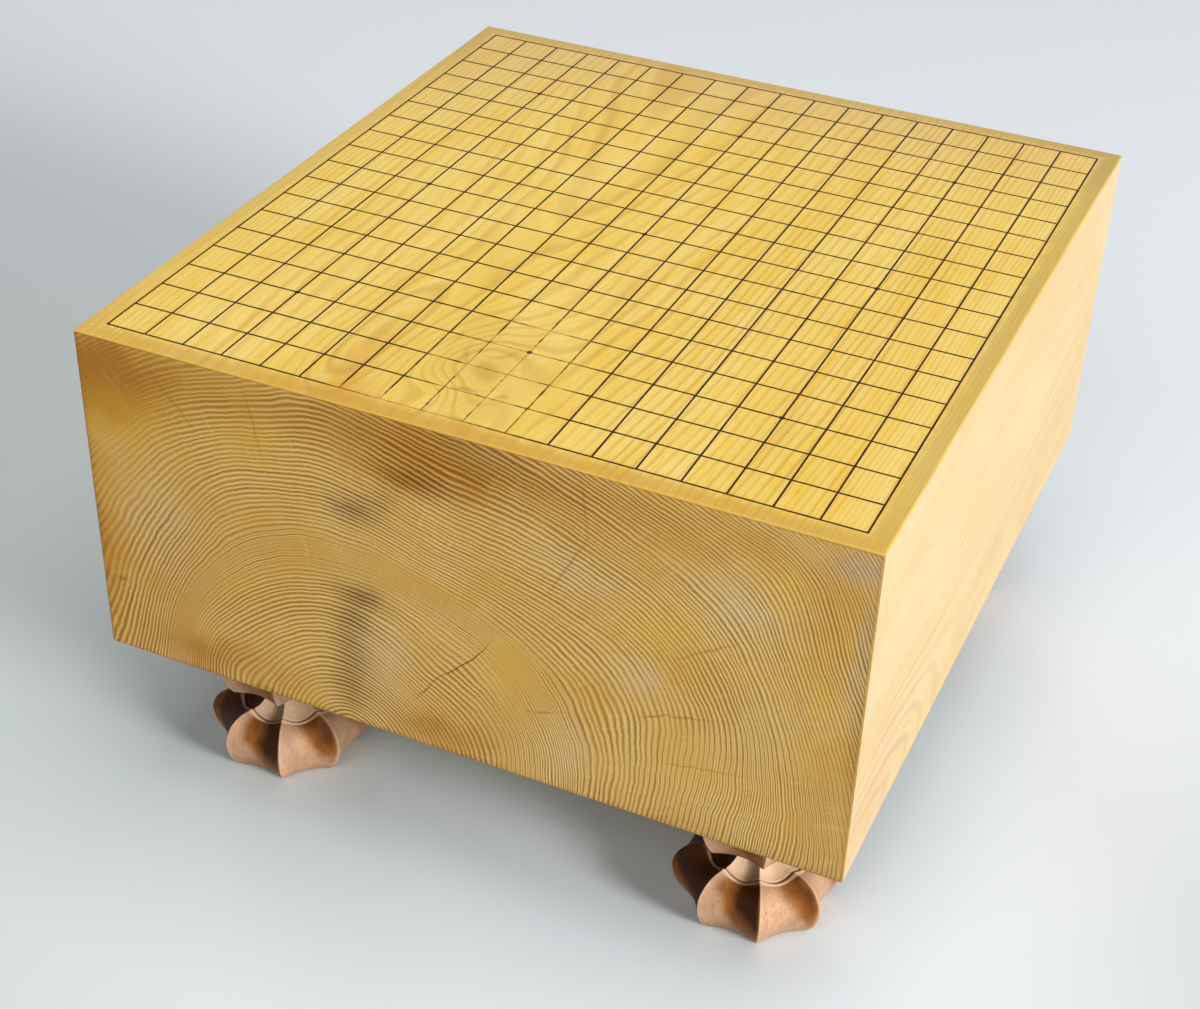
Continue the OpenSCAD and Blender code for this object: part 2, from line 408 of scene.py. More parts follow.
@dataclass(frozen=True)
class LogFigure:
    """The growth rings of the log that the block was sawn from."""

    pith: Triple = (-60.0, FRONT_Y, 90.0)
    lean: Triple = (1.2, 0.0, -1.6)
    pitch: float = 2.6
    wander: float = 0.7
    wander_length: float = 16.0
    broad_size: Triple = (70, 230, 70)
    broad_lift: float = 9.0
    fine_size: Triple = (15, 70, 15)
    fine_lift: float = 2.0
    late_rise: Span = (0.25, 0.74)
    late_fall: Span = (0.80, 1.0, 1.0, 0.0)
    late_levels: Span = (0.0, 1.0, 0.55, 1.0)
    split_rise: Span = (0.3, 0.7)
    split_fall: Span = (0.75, 1.0, 1.0, 0.0)
    split_offset: float = 0.3
    wide_share: Pair = (-0.65, 0.85)
    split_share: Pair = (0.35, 0.25)
    pale_rise: Span = (0.0, 0.12)
    pale_fall: Span = (0.15, 0.55, 1.0, 0.0)
    ray_turn: float = 42.0
    ray_length: float = 26.0
    lobes: tuple[Patch, ...] = (
        *Side.RINGS.patches(
            (130, 195, 85, 85, -30),
            (172, 272, 40, 38, -16),
            (-10, 245, 45, 40, 11),
            (-18, 145, 30, 30, 9),
            (-190, 130, 35, 60, 20),
            (-140, 108, 22, 30, -12),
            (-165, 190, 30, 35, 8),
        ),
        Patch((-18, -172, TOP_Z), (27, 42, 22), 14.0),
        Patch((-24, -196, TOP_Z), (14, 20, 14), -7.0),
        Patch((-78, -165, TOP_Z), (22, 70, 22), -8.0),
        Patch((RIGHT_X, -228, 104), (44, 125, 62), -18.0),
    )

    def radius(self, g: Graph, point: Socket) -> Socket:
        """Gives the ring radius of a place in the block.

        Args:
            g: Node tree to add to.
            point: Place in millimetres.

        Returns:
            Its distance from the pith along the swollen rings.
        """
        seen = g.place(point, self.pith, (1, 1, 1), self.lean)
        plain = g.vector("LENGTH", g.vector("MULTIPLY", seen, (1, 0, 1)))
        swollen = g.patches(point, self.lobes, plain)
        broad = g.noise(point, self.broad_size, 1.0)
        fine = g.noise(point, self.fine_size, 1.0)
        wavy = g.math("MULTIPLY_ADD", g.math("SUBTRACT", broad, 0.5), self.broad_lift, swollen)
        return g.math("MULTIPLY_ADD", g.math("SUBTRACT", fine, 0.5), self.fine_lift, wavy)

    def phase(self, g: Graph, radius: Socket) -> Socket:
        """Counts the rings from the pith outwards, broad ones and narrow ones in turn.

        Args:
            g: Node tree to add to.
            radius: Ring radius of the place.

        Returns:
            The count, which grows by 1 across each ring.
        """
        node = g.add("ShaderNodeTexNoise", noise_dimensions="1D")
        g.put(node.inputs["W"], g.math("DIVIDE", radius, self.wander_length))
        g.put(node.inputs["Scale"], 1.0)
        count = g.math("DIVIDE", radius, self.pitch)
        return g.math("MULTIPLY_ADD", node.outputs[0], self.wander * 2, count)

    def late_wood(self, g: Graph, phase: Socket, narrow: Number = 0.0) -> Socket:
        """Gives the dark late wood of each ring, stronger in some rings than in others.

        Args:
            g: Node tree to add to.
            phase: Count of the rings.
            narrow: Where the rings are half as wide, from 0 to 1.

        Returns:
            0 in the early wood and up to 1 in the late wood.
        """
        part = g.math("FRACT", phase)
        crest = self.crest(g, part, self.late_rise, self.late_fall)
        seed = g.add("ShaderNodeTexWhiteNoise", noise_dimensions="1D")
        g.put(seed.inputs["W"], g.math("FLOOR", phase))
        broad = g.math("MULTIPLY", crest, g.span(seed.outputs["Value"], *self.late_levels))
        half = g.math("FRACT", self.split_phase(g, phase))
        fine = self.crest(g, half, self.split_rise, self.split_fall)
        wide = g.math("MULTIPLY", broad, g.math("MULTIPLY_ADD", narrow, *self.wide_share))
        return g.math("MULTIPLY_ADD", fine, g.math("MULTIPLY_ADD", narrow, *self.split_share), wide)

    def crest(self, g: Graph, part: Socket, rise: Span, fall: Span) -> Socket:
        """Gives a level that rises and falls once within each ring."""
        return g.math("MULTIPLY", g.span(part, *rise), g.span(part, *fall))

    def split_phase(self, g: Graph, phase: Socket) -> Socket:
        """Counts rings that are half as wide."""
        return g.math("MULTIPLY_ADD", phase, 2.0, self.split_offset)

    def pale_wood_and_highlight(self, g: Graph, phase: Socket, narrow: Number) -> Socket:
        """Gives the palest wood of each ring, just outside the late wood of the ring before it, where
        it also stands as a painted highlight along that edge of the ring.

        Args:
            g: Node tree to add to.
            phase: Count of the rings.
            narrow: Where the rings are half as wide, from 0 to 1.

        Returns:
            1 in the palest wood and 0 elsewhere.
        """
        wide, fine = (
            self.crest(g, g.math("FRACT", count), self.pale_rise, self.pale_fall)
            for count in (phase, self.split_phase(g, phase))
        )
        return g.math("MULTIPLY_ADD", g.math("SUBTRACT", fine, wide), narrow, wide)

    def rays(self, g: Graph, point: Socket, radius: Socket) -> Socket:
        """Gives thin rays that run from the pith outwards across the rings.

        Args:
            g: Node tree to add to.
            point: Place in millimetres.
            radius: Its ring radius.

        Returns:
            Noise between 0 and 1, long across the rings and narrow along them.
        """
        split = g.add("ShaderNodeSeparateXYZ")
        g.put(split.inputs[0], g.place(point, self.pith, (1, 1, 1), self.lean))
        angle = g.math("ARCTAN2", split.outputs["X"], split.outputs["Z"])
        join = g.add("ShaderNodeCombineXYZ")
        g.put(join.inputs["X"], g.math("MULTIPLY", angle, self.ray_turn))
        g.put(join.inputs["Y"], g.math("DIVIDE", radius, self.ray_length))
        return g.noise(join.outputs[0], (1, 1, 1), 3.0, 0.65)


LOG = LogFigure()


@dataclass(frozen=True)
class Tint:
    """A colour that stains some patches of a face."""

    colour: Triple
    patches: tuple[Patch, ...]


@dataclass(frozen=True)
class EndGrain:
    """The sawn ends of the block, where the rings show as arcs."""

    name: str = "end_grain"
    pale: Triple = (0.98, 0.735, 0.335)
    early: Triple = (0.77, 0.455, 0.09)
    amber: Triple = (0.68, 0.35, 0.03)
    late: Triple = (0.26, 0.10, 0.010)
    handled: Triple = (0.34, 0.18, 0.04)
    shadow: Triple = (0.30, 0.22, 0.15)
    tints: tuple[Tint, ...] = (
        Tint((0.77, 0.53, 0.27), Side.FRONT.patches(
            (-170, 190, 24, 32, 0.4),
            (-195, 238, 14, 16, 0.4),
            (148, 246, 24, 14, 0.65),
            (103, 184, 16, 9, 0.5),
            (-38, 143, 16, 28, 0.4),
            (62, 125, 14, 26, 0.4),
            (190, 284, 22, 10, 0.4),
            (66, 240, 22, 14, 0.4),
        )),
        Tint((0.80, 0.46, 0.035), Side.FRONT.patches(
            (-128, 172, 20, 14, 0.65),
            (-85, 143, 10, 10, 0.45),
            (110, 222, 18, 12, 0.65),
            (172, 262, 16, 14, 0.55),
            (192, 215, 8, 42, 0.5),
            (26, 172, 12, 14, 0.35),
            (-100, 262, 60, 16, 0.4),
            (-190, 262, 34, 34, 0.6),
            (115, 140, 34, 20, 0.35),
        )),
        Tint((0.52, 0.25, 0.025), Side.FRONT.patches(
            (0, 285, 66, 18, 0.9),
            (-20, 265, 28, 9, 0.6),
            (-195, 278, 48, 26, 0.85),
            (-150, 112, 34, 12, 0.5),
            (-8, 112, 32, 13, 0.55),
            (140, 103, 70, 7, 0.4),
            (-190, 125, 22, 20, 0.35),
            (196, 120, 14, 44, 0.3),
        )),
        Tint((0.45, 0.36, 0.25), Side.FRONT.patches(
            (16, 288, 22, 6, 0.55),
            (200, 288, 10, 8, 0.55),
            (208, 240, 4, 34, 0.45),
        )),
    )
    glaze: Tint = Tint((0.80, 0.58, 0.17), Side.FRONT.patches(
        (-195, 278, 50, 28, 0.6),
        (0, 284, 64, 20, 1.0),
        (-155, 165, 60, 60, 0.3),
        (-25, 264, 26, 9, 0.6),
        (-110, 284, 60, 14, 0.4),
        (128, 280, 50, 16, 0.4),
        (-150, 112, 36, 12, 0.5),
        (-8, 112, 34, 12, 0.5),
        (-212, 160, 16, 70, 0.6),
        (190, 250, 14, 44, 0.4),
    ))
    shade: tuple[Patch, ...] = Side.FRONT.patches(
        (-51, 184, 13, 8, 0.75),
        (-57, 167, 11, 12, 0.6),
        (-59, 142, 12, 16, 0.6),
        (-60, 118, 11, 12, 0.5),
        (-55, 236, 13, 8, 0.7),
        (-40, 246, 12, 7, 0.35),
        (-18, 263, 22, 6, 0.35),
        (0, 99, 260, 3, 0.5),
        (-212, 190, 4, 100, 0.35),
        (210, 180, 4, 60, 0.35),
    )
    marks: tuple[Patch, ...] = (
        Side.FRONT.patch(-200, 146, 3, 2, 0.6),
        front_line(-21, 130, -12, 143, 0.6, 0.7),
        front_line(102, 163, 115, 169, 0.5, 0.6),
        front_line(113, 168, 140, 175, 0.5, 0.6),
        front_line(40, 143, 60, 150, 0.5, 0.5),
        front_line(120, 205, 150, 226, 0.6, 0.4),
        front_line(52, 222, 72, 260, 0.7, 0.4),
        front_line(72, 258, 67, 292, 0.7, 0.35),
        front_line(-165, 280, -143, 255, 0.7, 0.45),
        front_line(-114, 292, -105, 250, 0.7, 0.35),
        front_line(110, 138, 160, 147, 0.5, 0.4),
    )
    quiet: tuple[Patch, ...] = Side.FRONT.patches(
        (-194, 264, 50, 50, 0.92),
        (-15, 202, 34, 10, 0.6),
        (32, 165, 20, 22, 0.55),
        (-160, 118, 10, 26, 0.55),
        (122, 160, 14, 12, 0.4),
        (-207, 165, 16, 70, 0.55),
    )
    narrow: tuple[Patch, ...] = Side.FRONT.patches(
        (168, 128, 52, 44, 1.1),
        (40, 125, 16, 50, 0.8),
    )
    narrow_radius: float = 117.0
    narrow_reach: float = 12.0
    narrow_fade: Span = (0.6, 1.2, 0.8, 0.0)
    narrow_amber: float = 0.6
    edge_fade: Span = (0.3, 2.2)
    stain_drift: Pair = (30.0, 15.0)
    shade_drift: Pair = (12.0, 5.0)
    mark_drift: Pair = (7.0, 1.6)
    cloud_size: Triple = (45, 120, 45)
    tone_size: Triple = (34, 90, 34)
    pore_size: Triple = (0.7, 4.0, 0.7)
    contrast: Span = (0.30, 0.62, 0.6, 1.3)
    amber_tone: Span = (0.3, 0.7)
    ray_bend: float = 0.9
    ray_breaks: Span = (0.3, 0.7, 0.65, 1.0)
    ray_light: Span = (0.52, 0.8, 0.0, 0.25)
    tint_gain: float = 1.35
    pale_share: float = 0.85
    late_share: float = 0.68
    shade_levels: Pair = (1.3, 0.45)
    handled_share: float = 0.75
    pore_dark: Span = (0.45, 0.85, 0.0, 0.35)
    rough: Span = (0.2, 0.8, 0.46, 0.62)
    specular: float = 0.35
    relief: float = 0.14
    relief_shares: Pair = (-0.7, -0.3)

    def inner(self, g: Graph, point: Socket) -> Socket:
        """Gives the end without its handled edges, where the rings are rubbed away.

        Args:
            g: Node tree to add to.
            point: Place in millimetres.

        Returns:
            Low at the edges and 1 inside.
        """
        middle = (0.0, 0.0, (UNDER_Z + TOP_Z) / 2)
        split = g.add("ShaderNodeSeparateXYZ")
        g.put(split.inputs[0], g.vector("ABSOLUTE", g.vector("SUBTRACT", point, middle)))
        beside = g.math("SUBTRACT", RIGHT_X, split.outputs["X"])
        above = g.math("SUBTRACT", TOP_Z - middle[2], split.outputs["Z"])
        return g.span(g.math("MINIMUM", beside, above), *self.edge_fade)

    def material(self) -> bpy.types.Material:
        """Builds the finish.

        Returns:
            The material.
        """
        g = Graph(bpy.data.materials.new(self.name))
        point = g.point()
        ragged = g.drift(point, *self.stain_drift)
        radius = LOG.radius(g, point)
        rays = LOG.rays(g, point, radius)
        phase = LOG.phase(g, g.math("MULTIPLY_ADD", rays, self.ray_bend, radius))
        band = g.math("DIVIDE", g.math("SUBTRACT", radius, self.narrow_radius), self.narrow_reach)
        band = g.span(g.math("ABSOLUTE", band), *self.narrow_fade)
        narrow = g.cover(ragged, self.narrow, band)
        late = LOG.late_wood(g, phase, narrow)
        inner = self.inner(g, point)
        cloud = g.noise(point, self.cloud_size)
        quiet = g.math("SUBTRACT", 1.0, g.patches(ragged, self.quiet))
        contrast = g.math("MULTIPLY", g.span(cloud, *self.contrast), g.span(quiet, 0.0, 1.0))
        contrast = g.math("MULTIPLY", contrast, inner)
        tone = g.noise(ragged, self.tone_size, 4.0, 0.6)
        colour = g.mix(g.span(tone, *self.amber_tone), self.early, self.amber)
        colour = g.mix(g.math("MULTIPLY", band, self.narrow_amber), colour, self.amber)
        for tint in self.tints:
            amount = g.math("MULTIPLY", g.patches(ragged, tint.patches), self.tint_gain)
            colour = g.mix(g.math("MINIMUM", amount, 1.0), colour, tint.colour)
        # Pale early wood, with a painted highlight along one edge of each ring.
        pale = LOG.pale_wood_and_highlight(g, phase, narrow)
        light = g.math("MULTIPLY", pale, g.math("MULTIPLY", contrast, self.pale_share))
        colour = g.mix(light, colour, self.pale)
        broken = g.math("MULTIPLY", late, g.span(rays, *self.ray_breaks))
        dark = g.math("MULTIPLY", broken, contrast)
        colour = g.mix(g.math("MULTIPLY", dark, self.late_share), colour, self.late)
        colour = g.mix(g.span(rays, *self.ray_light), colour, self.pale)
        glaze = g.cover(ragged, self.glaze.patches)
        colour = g.mix(glaze, colour, self.glaze.colour, "MULTIPLY")
        shade = g.cover(g.drift(point, *self.shade_drift), self.shade)
        shade = g.math("MULTIPLY", shade, g.math("MULTIPLY_ADD", late, *self.shade_levels))
        shade = g.math("MINIMUM", shade, 1.0)
        colour = g.mix(shade, colour, self.shadow, "MULTIPLY")
        marks = g.cover(g.drift(point, *self.mark_drift), self.marks)
        colour = g.mix(marks, colour, self.late)
        kept = g.math("MULTIPLY", inner, self.handled_share)
        colour = g.mix(g.math("SUBTRACT", self.handled_share, kept), colour, self.handled)
        pores = g.noise(point, self.pore_size)
        colour = g.mix(g.span(pores, *self.pore_dark), colour, self.late)
        g.dress(colour, g.span(cloud, *self.rough), self.specular)
        of_late, of_pores = self.relief_shares
        height = g.math("MULTIPLY_ADD", late, of_late, g.math("MULTIPLY", pores, of_pores))
        g.bump(height, self.relief)
        return g.holder


@dataclass(frozen=True)
class LongGrain:
    """A face of the block along the grain, where the rings show as stripes and flames."""

    name: str
    early: Triple
    early_deep: Triple
    late: Triple
    line: float
    rough: Pair
    gold: Union[Triple, None] = None
    tints: tuple[Tint, ...] = ()
    figured: tuple[Patch, ...] = ()
    margins: tuple[Tint, ...] = ()
    margin_start: Pair = (200.5, 215.8)
    margin_size: Triple = (9, 9, 9)
    margin_ragged: float = 10.0
    margin_fade: Span = (1.0, 11.0)
    stain_drift: Pair = (26.0, 9.0)
    cloud_size: Triple = (50, 160, 50)
    tone_size: Triple = (26, 140, 26)
    fibre_size: Triple = (0.9, 30, 0.9)
    fleck_size: Triple = (7, 0.9, 7)
    streak_size: Triple = (5, 75, 5)
    deep_tone: Span = (0.3, 0.7)
    gold_streaks: Span = (0.46, 0.72, 0.0, 0.8)
    line_levels: Span = (0.3, 0.65, 0.4, 1.0)
    fibre_dark: Span = (0.52, 0.85, 0.0, 0.34)
    fleck_dark: Span = (0.5, 0.8, 0.0, 0.16)
    rough_cloud: Span = (0.2, 0.8)
    specular: float = 0.4
    relief: float = 0.05
    relief_shares: Pair = (0.4, 0.6)

    def border(self, g: Graph, point: Socket) -> Socket:
        """Gives the border that lies outside the ruled lines.

        Args:
            g: Node tree to add to.
            point: Place in millimetres.

        Returns:
            0 inside the ruling and 1 near the edge.
        """
        split = g.add("ShaderNodeSeparateXYZ")
        g.put(split.inputs[0], g.vector("ABSOLUTE", point))
        beyond_x = g.math("SUBTRACT", split.outputs["X"], self.margin_start[0])
        beyond_y = g.math("SUBTRACT", split.outputs["Y"], self.margin_start[1])
        beyond = g.math("MAXIMUM", beyond_x, beyond_y)
        lumps = g.noise(point, self.margin_size, 3.0)
        ragged = g.math("MULTIPLY_ADD", lumps, self.margin_ragged, beyond)
        return g.span(ragged, *self.margin_fade)

    def material(self) -> bpy.types.Material:
        """Builds the finish.

        Returns:
            The material.
        """
        g = Graph(bpy.data.materials.new(self.name))
        point = g.point()
        ragged = g.drift(point, *self.stain_drift)
        radius = LOG.radius(g, point)
        late = LOG.late_wood(g, LOG.phase(g, radius))
        cloud = g.noise(point, self.cloud_size)
        tone = g.noise(point, self.tone_size, 4.0, 0.6)
        fibre = g.noise(ragged, self.fibre_size, 3.0, 0.6)
        fleck = g.noise(point, self.fleck_size, 2.0, 0.6)
        colour = g.mix(g.span(tone, *self.deep_tone), self.early, self.early_deep)
        if self.gold is not None:
            streak = g.noise(ragged, self.streak_size, 4.0, 0.65)
            colour = g.mix(g.span(streak, *self.gold_streaks), colour, self.gold)
        for tint in self.tints:
            colour = g.mix(g.cover(ragged, tint.patches), colour, tint.colour)
        strength = g.math("MULTIPLY", g.span(cloud, *self.line_levels), self.line)
        strength = g.patches(point, self.figured, strength)
        colour = g.mix(g.math("MULTIPLY", late, strength), colour, self.late)
        colour = g.mix(g.span(fibre, *self.fibre_dark), colour, self.late)
        colour = g.mix(g.span(fleck, *self.fleck_dark), colour, self.late)
        if self.margins:
            border = self.border(g, point)
            for tint in self.margins:
                reach = g.cover(point, tint.patches)
                colour = g.mix(g.math("MULTIPLY", border, reach), colour, tint.colour)
        g.dress(colour, g.span(cloud, *self.rough_cloud, *self.rough), self.specular)
        of_late, of_fibre = self.relief_shares
        height = g.math("MULTIPLY_ADD", late, of_late, g.math("MULTIPLY", fibre, of_fibre))
        g.bump(height, self.relief)
        return g.holder


TOP_GRAIN = LongGrain(
    name="top_grain",
    early=(0.91, 0.67, 0.185),
    early_deep=(0.87, 0.59, 0.105),
    late=(0.52, 0.27, 0.025),
    line=0.42,
    rough=(0.38, 0.5),
    gold=(0.88, 0.54, 0.045),
    tints=(
        # Painted sheen: a duller, greyer tone at the back and the back-left of the top, where glancing
        # light glosses it.
        Tint((0.70, 0.47, 0.20), Side.TOP.patches(
            (0, 225, 300, 70, 0.6),
            (-190, 150, 60, 80, 0.3),
        )),
        Tint((0.70, 0.33, 0.03), Side.TOP.patches(
            (-70, -178, 8, 38, 0.6),
            (-64, -212, 16, 14, 0.5),
            (-88, -120, 5, 40, 0.25),
            (136, -150, 5, 60, 0.3),
            (20, -60, 8, 40, 0.25),
        )),
        Tint((0.74, 0.48, 0.085), Side.TOP.patches(
            (-15, -165, 30, 36, 0.6),
            (5, -205, 16, 8, 0.5),
            (-32, -130, 12, 12, 0.4),
        )),
        Tint((0.24, 0.13, 0.03), Side.TOP.patches(
            (-12, -189, 6, 1.2, 0.6, 20),
            (6, -187, 2.2, 1.6, 0.5),
            (-24, -160, 1.6, 9, 0.35, 25),
            (-8, -150, 1.4, 8, 0.3, -30),
            (-38, -146, 1.6, 6, 0.3, -15),
            (0, -213, 9, 1.4, 0.35, -12),
        )),
    ),
    figured=Side.TOP.patches(
        (-18, -168, 30, 42, 0.14),
        (130, 0, 70, 400, 0.28),
        (-75, -180, 22, 50, 0.2),
    ),
    margins=(
        Tint((0.50, 0.33, 0.085), Side.TOP.patches(
            (-212, 0, 60, 260, 0.45),
            (212, 0, 60, 400, 0.65),
            (0, 228, 400, 60, 0.6),
        )),
        Tint((0.58, 0.30, 0.03), Side.TOP.patches(
            (0, -228, 300, 40, 0.75),
        )),
    ),
)

SIDE_GRAIN = LongGrain(
    name="side_grain",
    early=(0.79, 0.60, 0.315),
    early_deep=(0.76, 0.54, 0.25),
    late=(0.55, 0.29, 0.125),
    line=0.26,
    rough=(0.42, 0.55),
    figured=Side.RIGHT.patches((-175, 140, 80, 40, 0.55)),
    tints=(
        Tint((0.70, 0.44, 0.21), Side.RIGHT.patches(
            (-200, 120, 40, 30, 0.4),
            (120, 150, 120, 30, 0.3),
        )),
        Tint((0.30, 0.14, 0.05), Side.RIGHT.patches(
            (-145, 246, 5, 0.8, 0.35),
            (-185, 222, 4, 0.7, 0.35),
            (-205, 196, 5, 0.7, 0.35),
            (78, 181, 34, 0.5, 0.4, 10.5),
            (130, 191, 24, 0.5, 0.4, 10),
            (190, 197, 42, 0.5, 0.4, 4),
        )),
    ),
)

UNDER_GRAIN = LongGrain(
    name="underside_grain",
    early=(0.66, 0.46, 0.20),
    early_deep=(0.58, 0.38, 0.15),
    late=(0.38, 0.20, 0.07),
    line=0.6,
    rough=(0.55, 0.7),
)


@dataclass(frozen=True)
class LegStainAndShade:
    """Red-brown stain on the carved legs, thin on the necks and pooled in the flutes, with painted
    shade and painted highlights.
    """

    name: str = "leg_stain_and_shade"
    red: Triple = (0.28, 0.092, 0.018)
    peach: Triple = (0.58, 0.255, 0.08)
    # Painted highlight: pale peach on the lit panels of the legs.
    wear_and_highlight: Triple = (0.89, 0.62, 0.43)
    # Bare wood, on the rubbed ribs and the necks, and with a painted highlight on the lips.
    bare_and_lit: Triple = (0.91, 0.66, 0.43)
    # Near black: the wood's dark pores, and the painted shade in the flutes and the groove.
    deep: Triple = (0.04, 0.012, 0.003)
    blotch_size: Triple = (11, 11, 18)
    grain_size: Triple = (1.2, 1.2, 16)
    fleck_size: Triple = (0.6, 0.6, 5.0)
    peach_blotches: Span = (0.34, 0.68)
    red_grain: Span = (0.45, 0.72, 0.0, 0.7)
    rib_fade: Span = (0.0, 0.12, 1.0, 0.0)
    rib_bare: float = 0.3
    stain_and_shade_blotches: Span = (0.2, 0.7, 1.25, 0.75)
    highlight_fade: Span = (0.0, 0.3, 0.48, 0.0)
    grain_over_highlight: Span = (0.5, 0.75, 0.0, 0.35)
    red_stain_and_shade: Span = (-0.05, 0.42, 0.0, 0.85)
    black_stain_and_shade: Span = (0.25, 0.85, 0.0, 0.97)
    neck_bare: Span = (0.5, 1.0, 0.72, 0.25)
    lip_bare_and_highlight: Span = (0.2, 0.8, 0.9, 0.2)
    groove_shade: float = -0.45
    fleck_deep: Span = (0.58, 0.8, 0.0, 0.25)
    rough: Span = (0.2, 0.8, 0.40, 0.56)
    specular: float = 0.1
    relief: float = 0.12
    relief_shares: Pair = (0.7, 0.3)

    def material(self) -> bpy.types.Material:
        """Builds the finish.

        Returns:
            The material.
        """
        g = Graph(bpy.data.materials.new(self.name))
        point = g.point()
        pooled_stain_and_shade = g.attribute("pooled_stain_and_shade")
        flute = g.attribute("flute")
        lip = g.attribute("lip")
        neck = g.attribute("neck")
        blotch = g.noise(point, self.blotch_size, 3.0)
        grain = g.noise(point, self.grain_size, 3.0, 0.6)
        fleck = g.noise(point, self.fleck_size)
        colour = g.mix(g.span(blotch, *self.peach_blotches), self.red, self.peach)
        colour = g.mix(g.span(grain, *self.red_grain), colour, self.red)
        rubbed = g.math("MULTIPLY", g.span(flute, *self.rib_fade), self.rib_bare)
        colour = g.mix(rubbed, colour, self.bare_and_lit)
        # Stain pooled in the flutes, together with painted shade on the flutes that face away from the
        # key lamp, broken up by blotches.
        half = g.math("MULTIPLY", pooled_stain_and_shade, g.span(blotch, *self.stain_and_shade_blotches))
        # Painted highlight on the lit panels, where there is neither stain nor painted shade, with red
        # grain laid back over it.
        colour = g.mix(g.span(half, *self.highlight_fade), colour, self.wear_and_highlight)
        colour = g.mix(g.span(grain, *self.grain_over_highlight), colour, self.red)
        # Painted shade and pooled stain: red-brown, then near black where they are strongest.
        colour = g.mix(g.span(half, *self.red_stain_and_shade), colour, self.red)
        colour = g.mix(g.span(half, *self.black_stain_and_shade), colour, self.deep)
        # Bare wood on the necks, darkened where the painted shade lies.
        thin = g.math("MULTIPLY", neck, g.span(pooled_stain_and_shade, *self.neck_bare))
        colour = g.mix(thin, colour, self.bare_and_lit)
        # Pale lips: bare wood with a painted highlight, dimmed where the painted shade lies.
        rim = g.math("MULTIPLY", g.math("MAXIMUM", lip, 0.0), g.span(pooled_stain_and_shade, *self.lip_bare_and_highlight))
        colour = g.mix(rim, colour, self.bare_and_lit)
        # Painted shade: near black in the groove under the lip.
        groove = g.math("MULTIPLY", g.math("MINIMUM", lip, 0.0), self.groove_shade)
        colour = g.mix(groove, colour, self.deep)
        colour = g.mix(g.span(fleck, *self.fleck_deep), colour, self.deep)
        g.dress(colour, g.span(blotch, *self.rough), self.specular)
        of_grain, of_fleck = self.relief_shares
        height = g.math("MULTIPLY_ADD", grain, of_grain, g.math("MULTIPLY", fleck, of_fleck))
        g.bump(height, self.relief)
        return g.holder


@dataclass(frozen=True)
class LineLacquer:
    """Dark lacquer of the ruling, rubbed thin where play has worn it."""

    name: str = "line_lacquer"
    black: Triple = (0.016, 0.006, 0.003)
    brown: Triple = (0.048, 0.018, 0.006)
    rubbed: Triple = (0.46, 0.27, 0.05)
    mottle_size: Triple = (3, 3, 3)
    brown_mottle: Span = (0.35, 0.7)
    rough: Span = (0.3, 0.7, 0.34, 0.5)
    specular: float = 0.12
    relief: float = 0.02

    def material(self) -> bpy.types.Material:
        """Builds the finish.

        Returns:
            The material.
        """
        g = Graph(bpy.data.materials.new(self.name))
        point = g.point()
        wear = g.attribute("wear")
        mottle = g.noise(point, self.mottle_size, 3.0)
        colour = g.mix(g.span(mottle, *self.brown_mottle), self.black, self.brown)
        colour = g.mix(wear, colour, self.rubbed)
        g.dress(colour, g.span(mottle, *self.rough), self.specular)
        g.bump(mottle, self.relief)
        return g.holder


@dataclass(frozen=True)
class FloorPaper:
    """Pale floor with a faint grain, a little darker on the side away from the light, painted lighter
    towards the back and painted darker to the right of the block.
    """

    name: str = "floor_paper"
    light: Triple = (0.76, 0.82, 0.855)
    shade: Triple = (0.57, 0.63, 0.615)
    # Painted shade: a darker patch of floor to the right of the block, where the key lamp falls
    # strongest.
    near: Triple = (0.60, 0.64, 0.67)
    painted_shade_patch: Patch = Patch((420.0, -60.0, 0.0), (150.0, 230.0, 1000.0), 1.0)
    # Painted light: the floor is lighter towards the back, which lifts the shadow that the block casts
    # to the back-left.
    far: Triple = (0.79, 0.83, 0.86)
    bounced: float = 0.4
    reach: Span = (-600.0, 320.0)
    depth: Span = (-300.0, 900.0)
    grain_size: Triple = (2.5, 2.5, 2.5)
    grain_shade: Span = (0.3, 0.7, 0.0, 0.05)
    rough: float = 0.85
    specular: float = 0.2

    def material(self) -> bpy.types.Material:
        """Builds the finish.

        Returns:
            The material.
        """
        g = Graph(bpy.data.materials.new(self.name))
        point = g.point()
        split = g.add("ShaderNodeSeparateXYZ")
        g.put(split.inputs[0], point)
        grain = g.noise(point, self.grain_size)
        colour = g.mix(g.span(split.outputs["X"], *self.reach), self.shade, self.light)
        # Painted light towards the back.
        colour = g.mix(g.span(split.outputs["Y"], *self.depth), colour, self.far)
        # Painted shade to the right of the block.
        colour = g.mix(g.patches(point, [self.painted_shade_patch]), colour, self.near)
        colour = g.mix(g.span(grain, *self.grain_shade), colour, self.shade)
        colour = g.mix(g.seen(), g.mix(self.bounced, (0.0, 0.0, 0.0), colour), colour)
        g.dress(colour, self.rough, self.specular)
        return g.holder


def new_piece(
    name: str, bm: bmesh.types.BMesh, materials: Sequence[bpy.types.Material]
) -> bpy.types.Object:
    """Makes an object at the origin from a mesh in millimetres.

    Args:
        name: Name of the piece.
        bm: Its mesh, which is freed.
        materials: Its finishes, in the order of their slots.

    Returns:
        The object.
    """
    bmesh.ops.scale(bm, vec=(MM, MM, MM), verts=bm.verts)
    mesh = bpy.data.meshes.new(name)
    bm.to_mesh(mesh)
    bm.free()
    for material in materials:
        mesh.materials.append(material)
    piece = bpy.data.objects.new(name, mesh)
    bpy.context.scene.collection.objects.link(piece)
    return piece


